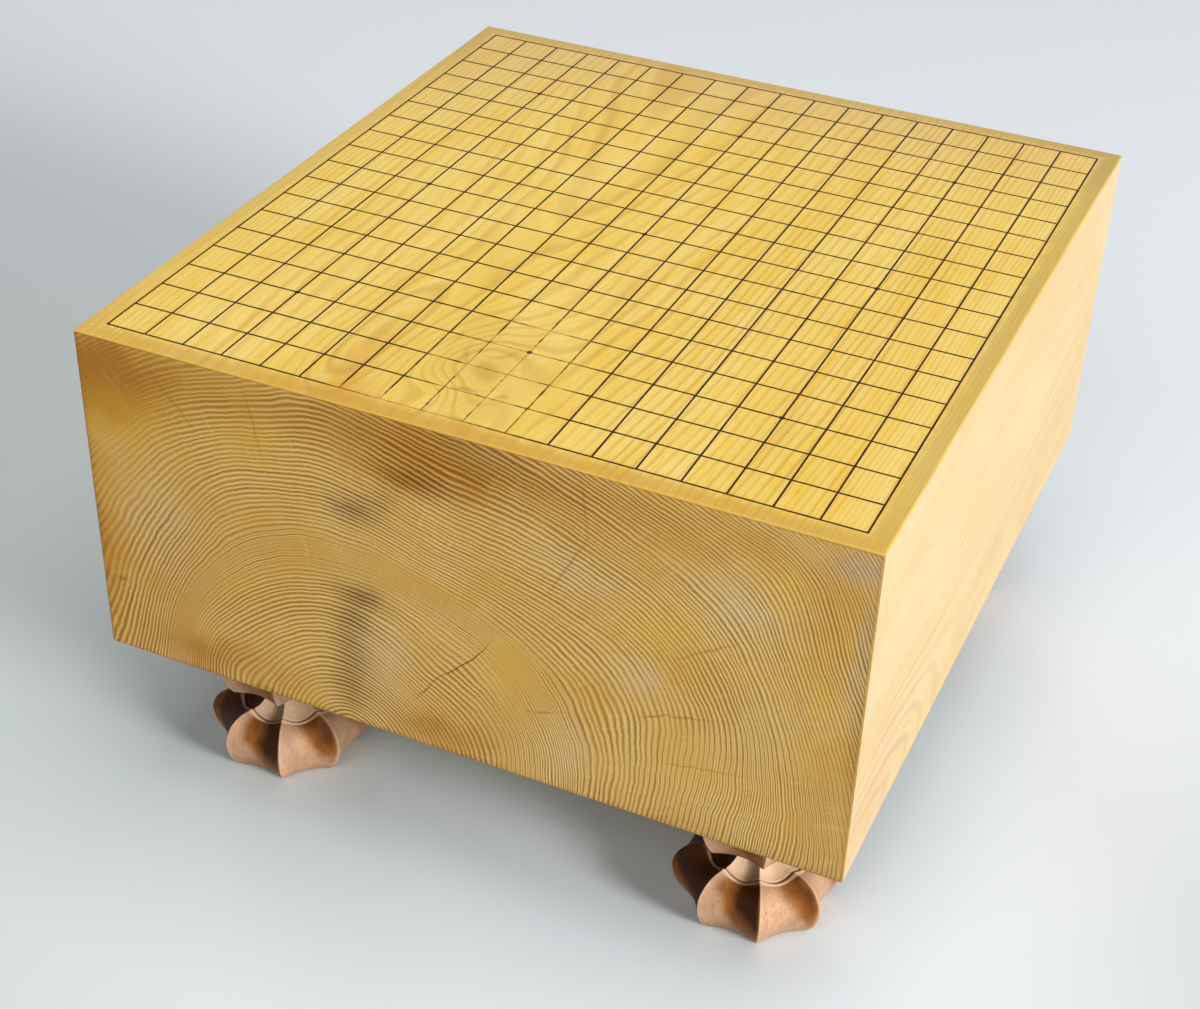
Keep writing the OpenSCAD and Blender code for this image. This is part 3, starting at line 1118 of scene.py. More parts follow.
def add_mesh(bm: bmesh.types.BMesh, part: bmesh.types.BMesh) -> None:
    """Adds one mesh to another.

    Args:
        bm: Mesh to add to.
        part: Mesh to add, which is freed.
    """
    mesh = bpy.data.meshes.new("part")
    part.to_mesh(mesh)
    part.free()
    bm.from_mesh(mesh)
    bpy.data.meshes.remove(mesh)


def set_attribute(mesh: bpy.types.Mesh, name: str, values: Sequence[float]) -> None:
    """Stores one number for each vertex of a mesh, under a name that the finishes read."""
    layer = mesh.attributes.new(name, "FLOAT", "POINT")
    layer.data.foreach_set("value", values)


class Face(Enum):
    """The faces of the block, by the slot that holds their finish."""

    TOP = 0
    END = 1
    SIDE = 2
    UNDER = 3


@dataclass
class BoardBlock:
    """The solid block: eased edges, a crack in its front end and a few dents in its top."""

    name: str = "solid_block"
    body: str = "board"
    node: str = "board_block"
    slot: str = "block_wood"
    edge_round: float = 0.3
    edge_angles: Pair = (0.4, 1.2)
    edge_reach: float = 1.0
    merge_gap: float = 0.01
    flat_angle: float = 0.5
    skin: float = 8.0
    top_skin: float = 2.0
    top_slope: float = 0.3
    wall_slope: float = 0.75
    end_slope: float = 0.9
    crack: tuple[Triple, ...] = (
        (-12.0, 143.0, 0.10),
        (-8.0, 148.2, 0.22),
        (-4.5, 151.0, 0.20),
        (0.0, 154.6, 0.40),
        (3.0, 158.2, 0.32),
        (8.0, 163.0, 0.46),
        (11.0, 165.8, 0.50),
        (14.0, 170.0, 0.36),
        (17.5, 174.4, 0.26),
        (19.5, 178.0, 0.18),
        (22.5, 183.5, 0.06),
    )
    crack_depth: float = 7.0
    dents: tuple[Triple, ...] = ((-205.0, -219.0, 2.2), (-195.0, -217.0, 1.6), (-188.0, -219.0, 1.4))
    dent_depth: float = 0.3
    dent_oval: float = 0.7
    cut_start: float = 1.0

    def merged_copy(self) -> bmesh.types.BMesh:
        """Copies the node's mesh, merges its loose triangles and rounds its eased edges.

        Returns:
            The mesh, in millimetres.
        """
        bm = bmesh.new()
        bm.from_mesh(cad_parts[self.node].data)
        bmesh.ops.scale(bm, vec=(1 / MM,) * 3, verts=bm.verts)
        bmesh.ops.remove_doubles(bm, verts=bm.verts, dist=self.merge_gap)
        flat = math.radians(self.flat_angle)
        bmesh.ops.dissolve_limit(bm, angle_limit=flat, verts=bm.verts, edges=bm.edges)
        outer = [edge for edge in bm.edges if self.is_eased(edge)]
        bmesh.ops.bevel(
            bm, geom=outer, offset=self.edge_round, offset_type="OFFSET", affect="EDGES",
            segments=2, profile=0.5, material=-1, clamp_overlap=True,
        )
        return bm

    def is_eased(self, edge: bmesh.types.BMEdge) -> bool:
        """Tells whether an edge borders one of the outer chamfers of the block.

        Args:
            edge: The edge.

        Returns:
            True if it does.
        """
        least, most = self.edge_angles
        if len(edge.link_faces) != 2 or not least < edge.calc_face_angle() < most:
            return False
        return all(self.outward(vert.co) > -self.edge_reach for vert in edge.verts)

    def outward(self, place: Vector) -> float:
        """Gives how far a place lies beyond the block's side or end faces."""
        return max(abs(place.x) - RIGHT_X, abs(place.y) - BACK_Y)

    def cutter(self) -> bpy.types.Object:
        """Makes the solids that cut the crack and the dents.

        Returns:
            One object that holds them all.
        """
        bm = bmesh.new()
        upper = [(x, z + half) for x, z, half in self.crack]
        lower = [(x, z - half) for x, z, half in reversed(self.crack)]
        verts = [bm.verts.new((x, FRONT_Y - self.cut_start, z)) for x, z in upper + lower]
        grown = bmesh.ops.extrude_face_region(bm, geom=[bm.faces.new(verts)])
        moved = [item for item in grown["geom"] if isinstance(item, bmesh.types.BMVert)]
        bmesh.ops.translate(bm, vec=(0, self.crack_depth + self.cut_start, 0), verts=moved)
        for x, y, radius in self.dents:
            flat = Matrix.Diagonal((radius, radius * self.dent_oval, self.dent_depth, 1.0))
            at = Matrix.Translation((x, y, TOP_Z))
            bmesh.ops.create_uvsphere(bm, u_segments=16, v_segments=8, radius=1.0, matrix=at @ flat)
        bmesh.ops.recalc_face_normals(bm, faces=bm.faces)
        return new_piece("block_cutter", bm, ())

    def cut(self, piece: bpy.types.Object) -> None:
        """Cuts the crack and the dents out of the block for good.

        Args:
            piece: The block.
        """
        cutter = self.cutter()
        modifier = piece.modifiers.new("cut", "BOOLEAN")
        modifier.operation = "DIFFERENCE"
        modifier.solver = "EXACT"
        modifier.object = cutter
        ready = piece.evaluated_get(bpy.context.evaluated_depsgraph_get())
        mesh = bpy.data.meshes.new_from_object(ready)
        piece.modifiers.clear()
        piece.data = mesh
        mesh.name = self.name
        bpy.data.objects.remove(cutter)

    def face_of(self, polygon: bpy.types.MeshPolygon) -> Face:
        """Tells which face of the block a polygon belongs to.

        Args:
            polygon: The polygon, in metres.

        Returns:
            The face.
        """
        normal, place = polygon.normal, polygon.center / MM
        is_wall = abs(normal.z) < self.wall_slope
        if place.z > TOP_Z - self.top_skin and normal.z > self.top_slope:
            return Face.TOP
        if is_wall and abs(place.y) > BACK_Y - self.skin and abs(normal.x) < self.end_slope:
            return Face.END
        if is_wall and abs(place.x) > RIGHT_X - self.skin:
            return Face.SIDE
        return Face.TOP if place.z > TOP_Z - self.skin else Face.UNDER

    def build(self) -> bpy.types.Object:
        """Builds the block and dresses it.

        Returns:
            The piece.
        """
        finishes = [finish.material() for finish in (TOP_GRAIN, EndGrain(), SIDE_GRAIN, UNDER_GRAIN)]
        piece = new_piece(self.name, self.merged_copy(), finishes)
        self.cut(piece)
        for polygon in piece.data.polygons:
            polygon.material_index = self.face_of(polygon).value
        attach(piece, self.body)
        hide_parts(self.node)
        return piece


class Corner(Enum):
    """The four corners of the block, by their side across and along it."""

    FRONT_LEFT = (-1, -1)
    FRONT_RIGHT = (1, -1)
    BACK_LEFT = (-1, 1)
    BACK_RIGHT = (1, 1)

    @property
    def node(self) -> str:
        """Name of the leg's node and of its body."""
        return f"{self.name.lower()}_leg"


@dataclass(frozen=True)
class Station:
    """One ring of a leg: its ribs, its flutes, and what shows on it."""

    rib_r: float
    rib_z: float
    flute_r: float
    flute_z: float
    neck: float = 0.0
    lip: float = 0.0
    is_round: bool = False


def swell(start_r: float, start_z: float, wide_r: float, wide_z: float, z: float) -> float:
    """Gives the radius at a height on an arc that stands upright at its widest ring.

    Args:
        start_r: Radius where the arc starts.
        start_z: Height where it starts.
        wide_r: Radius of the widest ring.
        wide_z: Height of the widest ring.
        z: Height to look at.

    Returns:
        The radius.
    """
    gain = wide_r - start_r
    rise = wide_z - start_z
    arc = (gain * gain + rise * rise) / (2 * gain)
    return wide_r - arc + math.sqrt(arc * arc - (wide_z - z) ** 2)


def quarter_turn(steps: int, first: int = 0) -> list[float]:
    """Gives angles in even steps up to a right angle."""
    return [math.radians(90 * i / steps) for i in range(first, steps + 1)]


def ease(low: float, high: float, value: float) -> float:
    """Eases a value from 0 at the first bound to 1 at the second, which may be the lower one."""
    t = min(1.0, max(0.0, (value - low) / (high - low)))
    return t * t * (3 - 2 * t)


@dataclass
class CarvedLeg:
    """A leg carved as a ribbed fruit: a bulb, a grooved neck, a crown and a round tenon."""

    corner: Corner
    slot: str = "leg_wood"
    ribs: int = 8
    steps: int = 24
    height: float = 99.0
    foot_r: float = 37.5
    foot_ease: float = 0.8
    bulb_r: float = 46.0
    bulb_z: float = 19.5
    shoulder_r: float = 15.5
    groove_r: float = 25.5
    groove_w: float = 1.6
    groove_d: float = 1.0
    lip_r: float = 0.5
    waist_r: float = 14.5
    waist_rise: float = 11.0
    tip_r: float = 37.6
    tip_rise: float = 8.0
    crown_r: float = 48.5
    crown_lead: float = 11.0
    foot_flute: float = 5.2
    bulb_flute: float = 7.0
    shoulder_flute: float = 3.4
    shoulder_lean: float = 2.5
    waist_flute: float = 2.0
    tip_flute: float = 6.5
    crown_flute: float = 8.0
    tenon_r: float = 19.0
    tenon_l: float = 36.0
    tenon_ease: float = 1.5
    rib_round: float = 0.035
    bulb_steps: int = 14
    shoulder_steps: int = 16
    neck_steps: int = 14
    crown_steps: int = 24
    sole: float = 0.6
    lip_form: tuple[Triple, ...] = ((2.0, 0.0, 0.5), (1.6, 0.7, 1.0), (0.5, 0.8, 1.0), (0.0, 0.0, 0.3))
    crease: float = 55.0
    merge_gap: float = 0.002
    carving: float = 0.22
    gouge_sizes: Pair = (7.0, 2.6)
    gouge_fine: float = 0.5
    gouge_seed: Triple = (17.0, 29.0, 5.0)
    # Strength of the pooled stain and painted shade on each flute, counted from the front; the flutes
    # that face away from the key lamp get the most painted shade.
    stain_and_shade: tuple[float, ...] = (1.0, 0.55, 0.45, 0.5, 0.7, 0.8, 1.4, 1.9)
    # Share of bare neck on each flute, counted from the front: none on the flutes that face away from
    # the key lamp, whose necks are painted in shade.
    bare_and_lit: tuple[float, ...] = (1.0, 1.0, 0.8, 0.6, 0.5, 0.5, 0.3, 0.0)
    # Where the pooled stain and painted shade lie: how they rise up the bulb, fade on the crown, slant
    # across each flute and spread on the strongest flutes.
    stain_shade_rise: Pair = (-4.0, 30.0)
    stain_shade_end: Pair = (46.0, 56.0)
    stain_shade_edge: Pair = (1.02, 0.9)
    stain_shade_slant: float = 0.9
    stain_shade_start: float = -0.8
    stain_shade_spread: float = 1.3
    stain_shade_thinned: float = 0.75
    stain_shade_middle: float = 0.6
    stain_shade_climb: float = 1.2

    @property
    def axis(self) -> Vector:
        """Place of the leg's axis, from the box of its node."""
        low, high = box_mm(self.corner.node)
        return (low + high) / 2

    def bulb(self) -> Iterator[Station]:
        """Gives the stations from the middle of the foot up to the widest ring.

        Returns:
            The stations, from the floor upwards.
        """
        yield Station(0.0, 0.0, 0.0, 0.0, is_round=True)
        for radius in (self.foot_r * self.sole, self.foot_r - self.foot_ease):
            yield Station(radius, 0.0, radius - self.foot_flute, 0.0)
        flute_foot = self.foot_r - self.foot_flute
        flute_bulb = self.bulb_r - self.bulb_flute
        for i in range(self.bulb_steps + 1):
            z = self.foot_ease + (self.bulb_z - self.foot_ease) * i / self.bulb_steps
            rib = swell(self.foot_r, 0.0, self.bulb_r, self.bulb_z, z)
            flute = swell(flute_foot, 0.0, flute_bulb, self.bulb_z, z)
            yield Station(rib, z, flute, z)

    def shoulder(self) -> Iterator[Station]:
        """Gives the stations over the shoulder to the lip and into the groove.

        Returns:
            The stations, from the widest ring inwards.
        """
        in_r = self.bulb_r - self.shoulder_r
        flute_in = in_r - self.shoulder_lean
        flute_rise = self.shoulder_r - self.shoulder_flute
        for a in quarter_turn(self.shoulder_steps, 1):
            yield Station(
                in_r + self.shoulder_r * math.cos(a),
                self.bulb_z + self.shoulder_r * math.sin(a),
                flute_in + (self.bulb_r - self.bulb_flute - flute_in) * math.cos(a),
                self.bulb_z + flute_rise * math.sin(a),
            )
        top = self.bulb_z + self.shoulder_r
        outer = self.groove_r + self.groove_w / 2
        for grow, rise, lip in self.lip_form:
            yield self.level(outer + grow, top + rise * self.lip_r, lip)
        yield self.level(self.groove_r, top - self.groove_d, -1.0)

    def level(self, radius: float, z: float, lip: float) -> Station:
        """Gives a round station that dips in the flutes as the shoulder does."""
        return Station(radius, z, radius, z - self.shoulder_flute, lip=lip)

    def neck(self) -> Iterator[Station]:
        """Gives the stations of the cove from the groove in to the waist and out to the tips.

        Returns:
            The stations, from the groove upwards.
        """
        start = self.groove_r - self.groove_w / 2
        low = self.bulb_z + self.shoulder_r
        waist_z = low + self.waist_rise
        flute_rise = self.waist_rise + self.shoulder_flute
        for a in quarter_turn(self.neck_steps):
            yield Station(
                start - (start - self.waist_r) * math.sin(a),
                waist_z - self.waist_rise * math.cos(a),
                start - (start - self.waist_r + self.waist_flute) * math.sin(a),
                waist_z - flute_rise * math.cos(a),
                neck=1.0,
            )
        flute_tip = self.tip_r - self.tip_flute
        for i, a in enumerate(quarter_turn(self.neck_steps, 1), 1):
            z = waist_z + self.tip_rise * math.sin(a)
            yield Station(
                self.tip_r - (self.tip_r - self.waist_r) * math.cos(a), z,
                flute_tip - (flute_tip - self.waist_r + self.waist_flute) * math.cos(a), z,
                neck=max(0.0, 1.0 - 2 * i / self.neck_steps),
            )

    def crown(self) -> Iterator[Station]:
        """Gives the stations of the crown, its seat and the tenon.

        Returns:
            The stations, from the tips upwards.
        """
        tip_z = self.bulb_z + self.shoulder_r + self.waist_rise + self.tip_rise
        wide_z = self.height - self.crown_lead
        for i in range(1, self.crown_steps + 1):
            z = tip_z + (self.height - tip_z) * i / self.crown_steps
            rib = swell(self.tip_r, tip_z, self.crown_r, wide_z, z)
            flute = swell(
                self.tip_r - self.tip_flute, tip_z, self.crown_r - self.crown_flute, wide_z, z
            )
            yield Station(rib, z, flute, z)
        end = self.height + self.tenon_l
        for radius, z in (
            (self.tenon_r, self.height),
            (self.tenon_r, end - self.tenon_ease),
            (self.tenon_r - self.tenon_ease, end),
            (0.0, end),
        ):
            yield Station(radius, z, radius, z, is_round=True)

    def stations(self) -> list[Station]:
        """Gives all the stations from the middle of the foot to the middle of the tenon's end."""
        return [*self.bulb(), *self.shoulder(), *self.neck(), *self.crown()]

    def ring_place(self, station: Station, panel: int, v: float) -> Vector:
        """Gives a place on a ring.

        Args:
            station: The ring.
            panel: Which flute, counted from the front.
            v: Place across the flute, from -1 at one rib to 1 at the next.

        Returns:
            The place, from the leg's axis.
        """
        half = math.pi / self.ribs
        turn = -math.pi / 2 + 2 * half * panel
        if station.is_round:
            a = turn + math.atan2(math.sin(half) * v, math.cos(half))
            return Vector((station.rib_r * math.cos(a), station.rib_r * math.sin(a), station.rib_z))
        inward = math.sqrt((1 - abs(v)) ** 2 + self.rib_round ** 2) - self.rib_round
        share = (1 - inward) ** 2
        side = station.rib_r * math.sin(half) * v
        out = station.flute_r + (station.rib_r * math.cos(half) - station.flute_r) * share
        z = station.flute_z + (station.rib_z - station.flute_z) * share
        return Vector((
            out * math.cos(turn) - side * math.sin(turn),
            out * math.sin(turn) + side * math.cos(turn),
            z,
        ))

    def carved(self, place: Vector, station: Station) -> Vector:
        """Moves a place a little, as a gouge leaves it.

        Args:
            place: The place on the clean form.
            station: Its ring.

        Returns:
            The place on the carved form.
        """
        if station.is_round or place.z <= 0.0 or place.z >= self.height:
            return place
        seed = Vector(self.gouge_seed) * Vector((*self.corner.value, 1))
        coarse, fine = (noise.noise(place / size + seed) for size in self.gouge_sizes)
        lump = coarse + self.gouge_fine * fine
        outward = Vector((place.x, place.y, 0.0)).normalized()
        return place + outward * lump * self.carving

    def pooled_stain_and_shade(self, panel: int, off: float, z: float) -> float:
        """Gives how much dark stain has pooled at a place in a flute, with painted shade added on the
        flutes that face away from the key lamp.

        Args:
            panel: Which flute, counted from the front.
            off: Place across the flute, from -1 at one rib to 1 at the next.
            z: Height above the floor.

        Returns:
            The stain and painted shade, from 0 up.
        """
        # The stain and painted shade lean across each flute towards the side turned away from the key
        # lamp.
        strength = self.stain_and_shade[panel]
        climb = min(self.stain_shade_climb, z / (self.bulb_z + self.shoulder_r))
        slant = off + self.stain_shade_slant * (climb - self.stain_shade_middle)
        start = self.stain_shade_start - self.stain_shade_spread * (strength - 1.0)
        across = ease(start, 1.0, slant) * ease(*self.stain_shade_edge, off)
        crown = 1.0 - self.stain_shade_thinned * ease(*self.stain_shade_end, z)
        return strength * across * crown * ease(*self.stain_shade_rise, z)

    def surface(self, stations: Sequence[Station]) -> bmesh.types.BMesh:
        """Spins the stations round the axis and lays each vertex on the carved form.

        Args:
            stations: The rings.

        Returns:
            The mesh round the axis, with the number of its ring on each vertex.
        """
        bm = bmesh.new()
        mark = bm.verts.layers.int.new("station")
        chain = []
        for i, station in enumerate(stations):
            vert = bm.verts.new((station.rib_r, 0.0, station.rib_z + i))
            vert[mark] = i
            chain.append(vert)
        edges = [bm.edges.new(pair) for pair in zip(chain, chain[1:])]
        around = self.ribs * self.steps
        bmesh.ops.spin(
            bm, geom=chain + edges, cent=(0, 0, 0), axis=(0, 0, 1), dvec=(0, 0, 0),
            angle=2 * math.pi, steps=around, use_merge=True, use_duplicate=False,
        )
        for vert in bm.verts:
            station = stations[vert[mark]]
            step = round(math.atan2(vert.co.y, vert.co.x) / (2 * math.pi) * around) % around
            panel, across = divmod(step, self.steps)
            v = math.sin(math.pi / 2 * (2 * across / self.steps - 1))
            vert.co = self.carved(self.ring_place(station, panel, v), station)
        bmesh.ops.remove_doubles(bm, verts=bm.verts, dist=self.merge_gap)
        bmesh.ops.recalc_face_normals(bm, faces=bm.faces)
        for face in bm.faces:
            face.smooth = True
        return bm

    def readings(self, bm: bmesh.types.BMesh, stations: Sequence[Station]) -> dict[str, list[float]]:
        """Works out the numbers that the stain, its painted shade and its painted highlights read.

        Args:
            bm: The mesh round the axis.
            stations: The rings.

        Returns:
            For each name, one number for each vertex.
        """
        mark = bm.verts.layers.int["station"]
        values = {"flute": [], "pooled_stain_and_shade": [], "neck": [], "lip": []}
        half = math.pi / self.ribs
        for vert in bm.verts:
            station = stations[vert[mark]]
            angle = (math.atan2(vert.co.y, vert.co.x) + math.pi / 2 + half) % (2 * math.pi)
            off = (angle % (2 * half) - half) / half
            panel = int(angle / (2 * half)) % self.ribs
            values["flute"].append(0.0 if station.is_round else 1.0 - abs(off))
            values["pooled_stain_and_shade"].append(self.pooled_stain_and_shade(panel, off, vert.co.z))
            # The neck share holds the painted shade of each flute as well.
            values["neck"].append(station.neck * self.bare_and_lit[panel])
            values["lip"].append(station.lip)
        return values

    def build(self, material: bpy.types.Material) -> bpy.types.Object:
        """Builds the leg and dresses it.

        Args:
            material: The stain, with its painted shade and highlights.

        Returns:
            The piece.
        """
        stations = self.stations()
        bm = self.surface(stations)
        values = self.readings(bm, stations)
        bmesh.ops.translate(bm, vec=(self.axis.x, self.axis.y, 0.0), verts=bm.verts)
        piece = new_piece(f"carved_{self.corner.node}", bm, [material])
        for name, numbers in values.items():
            set_attribute(piece.data, name, numbers)
        piece.data.set_sharp_from_angle(angle=math.radians(self.crease))
        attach(piece, self.corner.node)
        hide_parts(self.corner.node)
        return piece


@dataclass(frozen=True)
class WornPatch:
    """A stretch of the playing face where the lacquer is rubbed thin."""

    x: float
    y: float
    reach_x: float
    reach_y: float

    def wear(self, x: float, y: float) -> float:
        """Gives the wear at a place, 1 at the middle of the patch."""
        return math.exp(-(((x - self.x) / self.reach_x) ** 2 + ((y - self.y) / self.reach_y) ** 2))


@dataclass
class Ruling:
    """The grid of raised lacquer strokes, with a drop of lacquer on each star point."""

    body: str = "board"
    slot: str = "line_lacquer"
    line_w: float = 1.0
    first_h: float = 0.12
    second_h: float = 0.18
    star_d: float = 2.8
    star_h: float = 0.26
    count: int = 19
    step: float = 1.5
    star_wear: float = 0.15
    star_lines: tuple[int, ...] = (3, 9, 15)
    star_round: float = 0.8
    stroke_round: float = 0.6
    hand: float = 0.12
    hand_length: float = 11.0
    worn_width: float = 0.45
    worn_height: float = 0.6
    wear_gain: float = 1.35
    wear_ragged: float = 1.6
    wear_start: float = 0.18
    coarse_wear: float = 9.0
    fine_wear: float = 2.5
    fine_share: float = 0.7
    # Patches where play has rubbed the lacquer thin.
    wear_and_highlight: tuple[WornPatch, ...] = (
        WornPatch(-3, -165, 34, 60),
        WornPatch(-25, -215, 42, 9),
    )

    def wear(self, x: float, y: float) -> float:
        """Gives the wear of the lacquer at a place, from 0 to 1.

        Args:
            x: Place across the block.
            y: Place along the block.

        Returns:
            The wear.
        """
        most = max(patch.wear(x, y) for patch in self.wear_and_highlight)
        coarse = noise.noise(Vector((x / self.coarse_wear, y / self.coarse_wear, 3.0)))
        fine = noise.noise(Vector((x / self.fine_wear, y / self.fine_wear, 8.0)))
        ragged = coarse + self.fine_share * fine
        level = self.wear_gain * most + self.wear_ragged * ragged * most - self.wear_start
        return min(1.0, max(0.0, level))

    def stroke(
        self, bm: bmesh.types.BMesh, along_x: bool, at: float, half: float, height: float
    ) -> None:
        """Lays one stroke: a low rounded bar, narrower where it is worn.

        Args:
            bm: Mesh to add to.
            along_x: True for a crosswise stroke.
            at: Its place across its own length.
            half: Half its length.
            height: Its height above the block.
        """
        bar = bmesh.new()
        bmesh.ops.create_cube(bar, size=1.0)
        bmesh.ops.scale(bar, vec=(2 * half, self.line_w, height), verts=bar.verts)
        bmesh.ops.translate(bar, vec=(0, 0, TOP_Z + height / 2), verts=bar.verts)
        crown = [e for e in bar.edges if all(v.co.z > TOP_Z for v in e.verts) and self.runs_long(e)]
        bmesh.ops.bevel(
            bar, geom=crown, offset=height * self.stroke_round, offset_type="OFFSET", affect="EDGES",
            segments=2, profile=0.5, material=-1,
        )
        long_edges = [edge for edge in bar.edges if self.runs_long(edge)]
        cuts = int(2 * half / self.step)
        bmesh.ops.subdivide_edges(bar, edges=long_edges, cuts=cuts, use_grid_fill=True)
        if not along_x:
            quarter = Matrix.Rotation(math.pi / 2, 3, "Z")
            bmesh.ops.rotate(bar, cent=(0, 0, 0), matrix=quarter, verts=bar.verts)
        place = (0, at, 0) if along_x else (at, 0, 0)
        bmesh.ops.translate(bar, vec=place, verts=bar.verts)
        for vert in bar.verts:
            self.wear_down(vert, along_x, at)
        add_mesh(bm, bar)

    def runs_long(self, edge: bmesh.types.BMEdge) -> bool:
        """Tells whether an edge runs along a stroke that lies along X."""
        return abs(edge.verts[0].co.x - edge.verts[1].co.x) > self.line_w * 3

    def wear_down(self, vert: bmesh.types.BMVert, along_x: bool, at: float) -> None:
        """Narrows and lowers a stroke at one of its vertices, by hand and by wear.

        Args:
            vert: The vertex.
            along_x: True for a crosswise stroke.
            at: Place of the stroke across its own length.
        """
        wear = self.wear(vert.co.x, vert.co.y)
        run = vert.co.x if along_x else vert.co.y
        hand = 1.0 + self.hand * noise.noise(Vector((run / self.hand_length, at, 1.0)))
        width = hand * (1.0 - self.worn_width * wear)
        if along_x:
            vert.co.y = at + (vert.co.y - at) * width
        else:
            vert.co.x = at + (vert.co.x - at) * width
        vert.co.z = TOP_Z + (vert.co.z - TOP_Z) * (1.0 - self.worn_height * wear)

    def finish(
        self,
        name: str,
        node: str,
        bm: bmesh.types.BMesh,
        material: bpy.types.Material,
        share: float = 1.0,
    ) -> bpy.types.Object:
        """Makes a piece of the ruling, with its wear stored on it.

        Args:
            name: Name of the piece.
            node: Node that it stands for.
            bm: Its mesh.
            material: The lacquer.
            share: Share of the wear that shows on it.

        Returns:
            The piece.
        """
        bmesh.ops.recalc_face_normals(bm, faces=bm.faces)
        wear = [share * self.wear(vert.co.x, vert.co.y) for vert in bm.verts]
        piece = new_piece(name, bm, [material])
        set_attribute(piece.data, "wear", wear)
        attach(piece, self.body)
        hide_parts(node)
        return piece

    def places(self, low: float, high: float) -> list[float]:
        """Spreads the lines evenly between the first and the last."""
        return [low + (high - low) * i / (self.count - 1) for i in range(self.count)]

    def build(self, material: bpy.types.Material) -> list[bpy.types.Object]:
        """Builds the strokes and the star points.

        Args:
            material: The lacquer.

        Returns:
            The pieces.
        """
        low, high = box_mm("lengthwise_lines")
        half_w = self.line_w / 2
        across = self.places(low.x + half_w, high.x - half_w)
        along = self.places(low.y + half_w, high.y - half_w)
        lengthwise, crosswise, stars = bmesh.new(), bmesh.new(), bmesh.new()
        for x in across:
            self.stroke(lengthwise, False, x, high.y, self.first_h)
        for y in along:
            self.stroke(crosswise, True, y, high.x, self.second_h)
        for i in self.star_lines:
            for j in self.star_lines:
                self.star(stars, across[i], along[j])
        return [
            self.finish("lengthwise_strokes", "lengthwise_lines", lengthwise, material),
            self.finish("crosswise_strokes", "crosswise_lines", crosswise, material),
            self.finish("star_drops", "star_points", stars, material, self.star_wear),
        ]

    def star(self, bm: bmesh.types.BMesh, x: float, y: float) -> None:
        """Sets one drop of lacquer with a rounded top.

        Args:
            bm: Mesh to add to.
            x: Its place across the block.
            y: Its place along the block.
        """
        at = Matrix.Translation((x, y, TOP_Z + self.star_h / 2))
        made = bmesh.ops.create_cone(
            bm, cap_ends=True, segments=28, radius1=self.star_d / 2, radius2=self.star_d / 2,
            depth=self.star_h, matrix=at,
        )
        middle = TOP_Z + self.star_h / 2
        edges = dict.fromkeys(edge for vert in made["verts"] for edge in vert.link_edges)
        rim = [edge for edge in edges if all(vert.co.z > middle for vert in edge.verts)]
        bmesh.ops.bevel(
            bm, geom=rim, offset=self.star_h * self.star_round, offset_type="OFFSET", affect="EDGES",
            segments=3, profile=0.5, material=-1,
        )


@dataclass(frozen=True)
class Lamp:
    """A large soft square lamp."""

    name: str
    place: Triple
    size: float
    watts: float
    has_shine: bool = True

    def hang(self, aim: Triple) -> None:
        """Hangs the lamp.

        Args:
            aim: Place that it faces.
        """
        data = bpy.data.lights.new(self.name, "AREA")
        data.shape = "SQUARE"
        data.size = self.size * MM
        data.energy = self.watts
        lamp = bpy.data.objects.new(self.name, data)
        lamp.visible_glossy = self.has_shine
        lamp.location = Vector(self.place) * MM
        down = Vector(aim) * MM - lamp.location
        lamp.rotation_euler = down.to_track_quat("-Z", "Y").to_euler()
        bpy.context.scene.collection.objects.link(lamp)


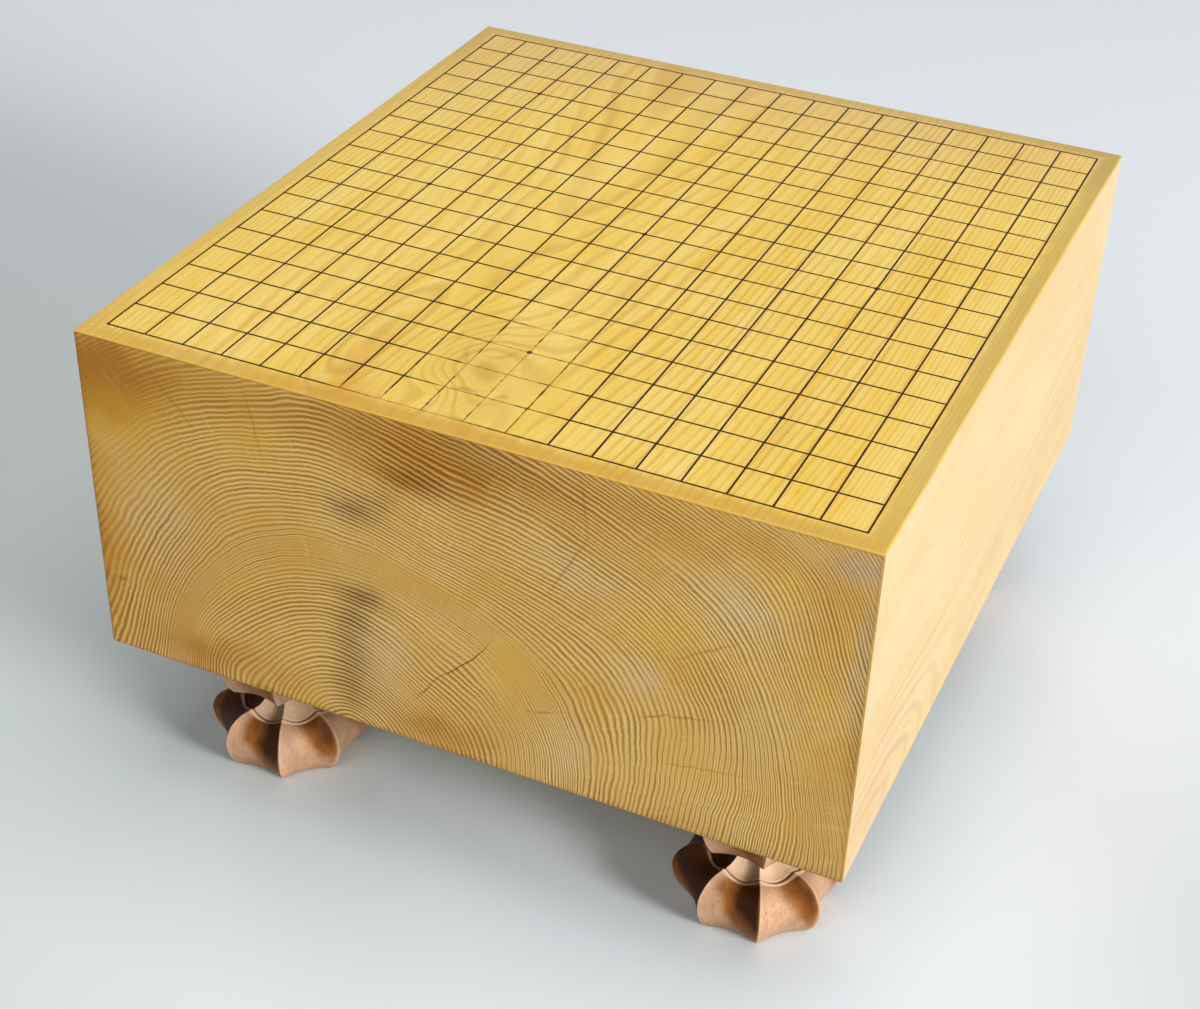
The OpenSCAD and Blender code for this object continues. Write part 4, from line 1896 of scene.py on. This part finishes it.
@dataclass
class Studio:
    """The camera, the lamps and the pale floor."""

    lens: float = 62.55
    sensor: float = 36.0
    camera_at: Triple = (387.15, -947.89, 819.83)
    azimuth: float = 23.29
    elevation: float = 34.52
    roll: float = 2.076
    clip_start: float = 20.0
    floor_w: float = 12000.0
    aim: Triple = (0.0, 0.0, 150.0)
    lamps: tuple[Lamp, ...] = (
        Lamp("key", (5850.0, -1790.0, 2050.0), 1700.0, 415.0),
        Lamp("overhead", (1100.0, -200.0, 4400.0), 3400.0, 106.0),
        Lamp("front", (-500.0, -4100.0, 3200.0), 3000.0, 68.0),
        Lamp("back", (-3500.0, 3900.0, 800.0), 1500.0, 62.0, has_shine=False),
    )
    sky: Triple = (0.93, 0.97, 1.0)
    sky_strength: float = 0.14
    sky_seen: float = 0.55

    def camera(self) -> None:
        """Sets the camera where the photograph was taken from."""
        data = bpy.data.cameras.new("camera")
        data.lens = self.lens
        data.sensor_width = self.sensor
        data.sensor_fit = "HORIZONTAL"
        data.clip_start = self.clip_start * MM
        camera = bpy.data.objects.new("camera", data)
        turn = (
            Matrix.Rotation(math.radians(self.azimuth), 4, "Z")
            @ Matrix.Rotation(math.radians(90 - self.elevation), 4, "X")
            @ Matrix.Rotation(math.radians(self.roll), 4, "Z")
        )
        camera.matrix_world = Matrix.Translation(Vector(self.camera_at) * MM) @ turn
        bpy.context.scene.collection.objects.link(camera)
        bpy.context.scene.camera = camera

    def world(self) -> None:
        """Fills the shadows with an even sky, which is paler where it is seen itself."""
        g = Graph(bpy.data.worlds.new("sky"), "Background")
        gain = self.sky_seen - self.sky_strength
        g.put(g.shader.inputs["Color"], self.sky)
        strength = g.math("MULTIPLY_ADD", g.seen(), gain, self.sky_strength)
        g.put(g.shader.inputs["Strength"], strength)
        bpy.context.scene.world = g.holder

    def floor(self) -> None:
        """Lays the floor, which is only a stage for the pictures."""
        bm = bmesh.new()
        bmesh.ops.create_grid(bm, x_segments=1, y_segments=1, size=self.floor_w / 2)
        floor = new_piece("floor", bm, [FloorPaper().material()])

    def build(self) -> None:
        """Sets up the whole studio and the plain view of its colours."""
        bpy.context.scene.view_settings.view_transform = "Standard"
        self.camera()
        for lamp in self.lamps:
            lamp.hang(self.aim)
        self.world()
        self.floor()


def report(piece: bpy.types.Object) -> None:
    """Logs a finished piece and its number of faces."""
    log.info("%s: %d faces", piece.name, len(piece.data.polygons))


def main() -> None:
    """Builds the studio, then the block, the legs and the ruling."""
    logging.basicConfig(level=logging.INFO, format="%(name)s: %(message)s")
    Studio().build()
    report(BoardBlock().build())
    stain_and_shade = LegStainAndShade().material()
    for corner in Corner:
        report(CarvedLeg(corner).build(stain_and_shade))
    for piece in Ruling().build(LineLacquer().material()):
        report(piece)


if __name__ == "__main__":
    main()
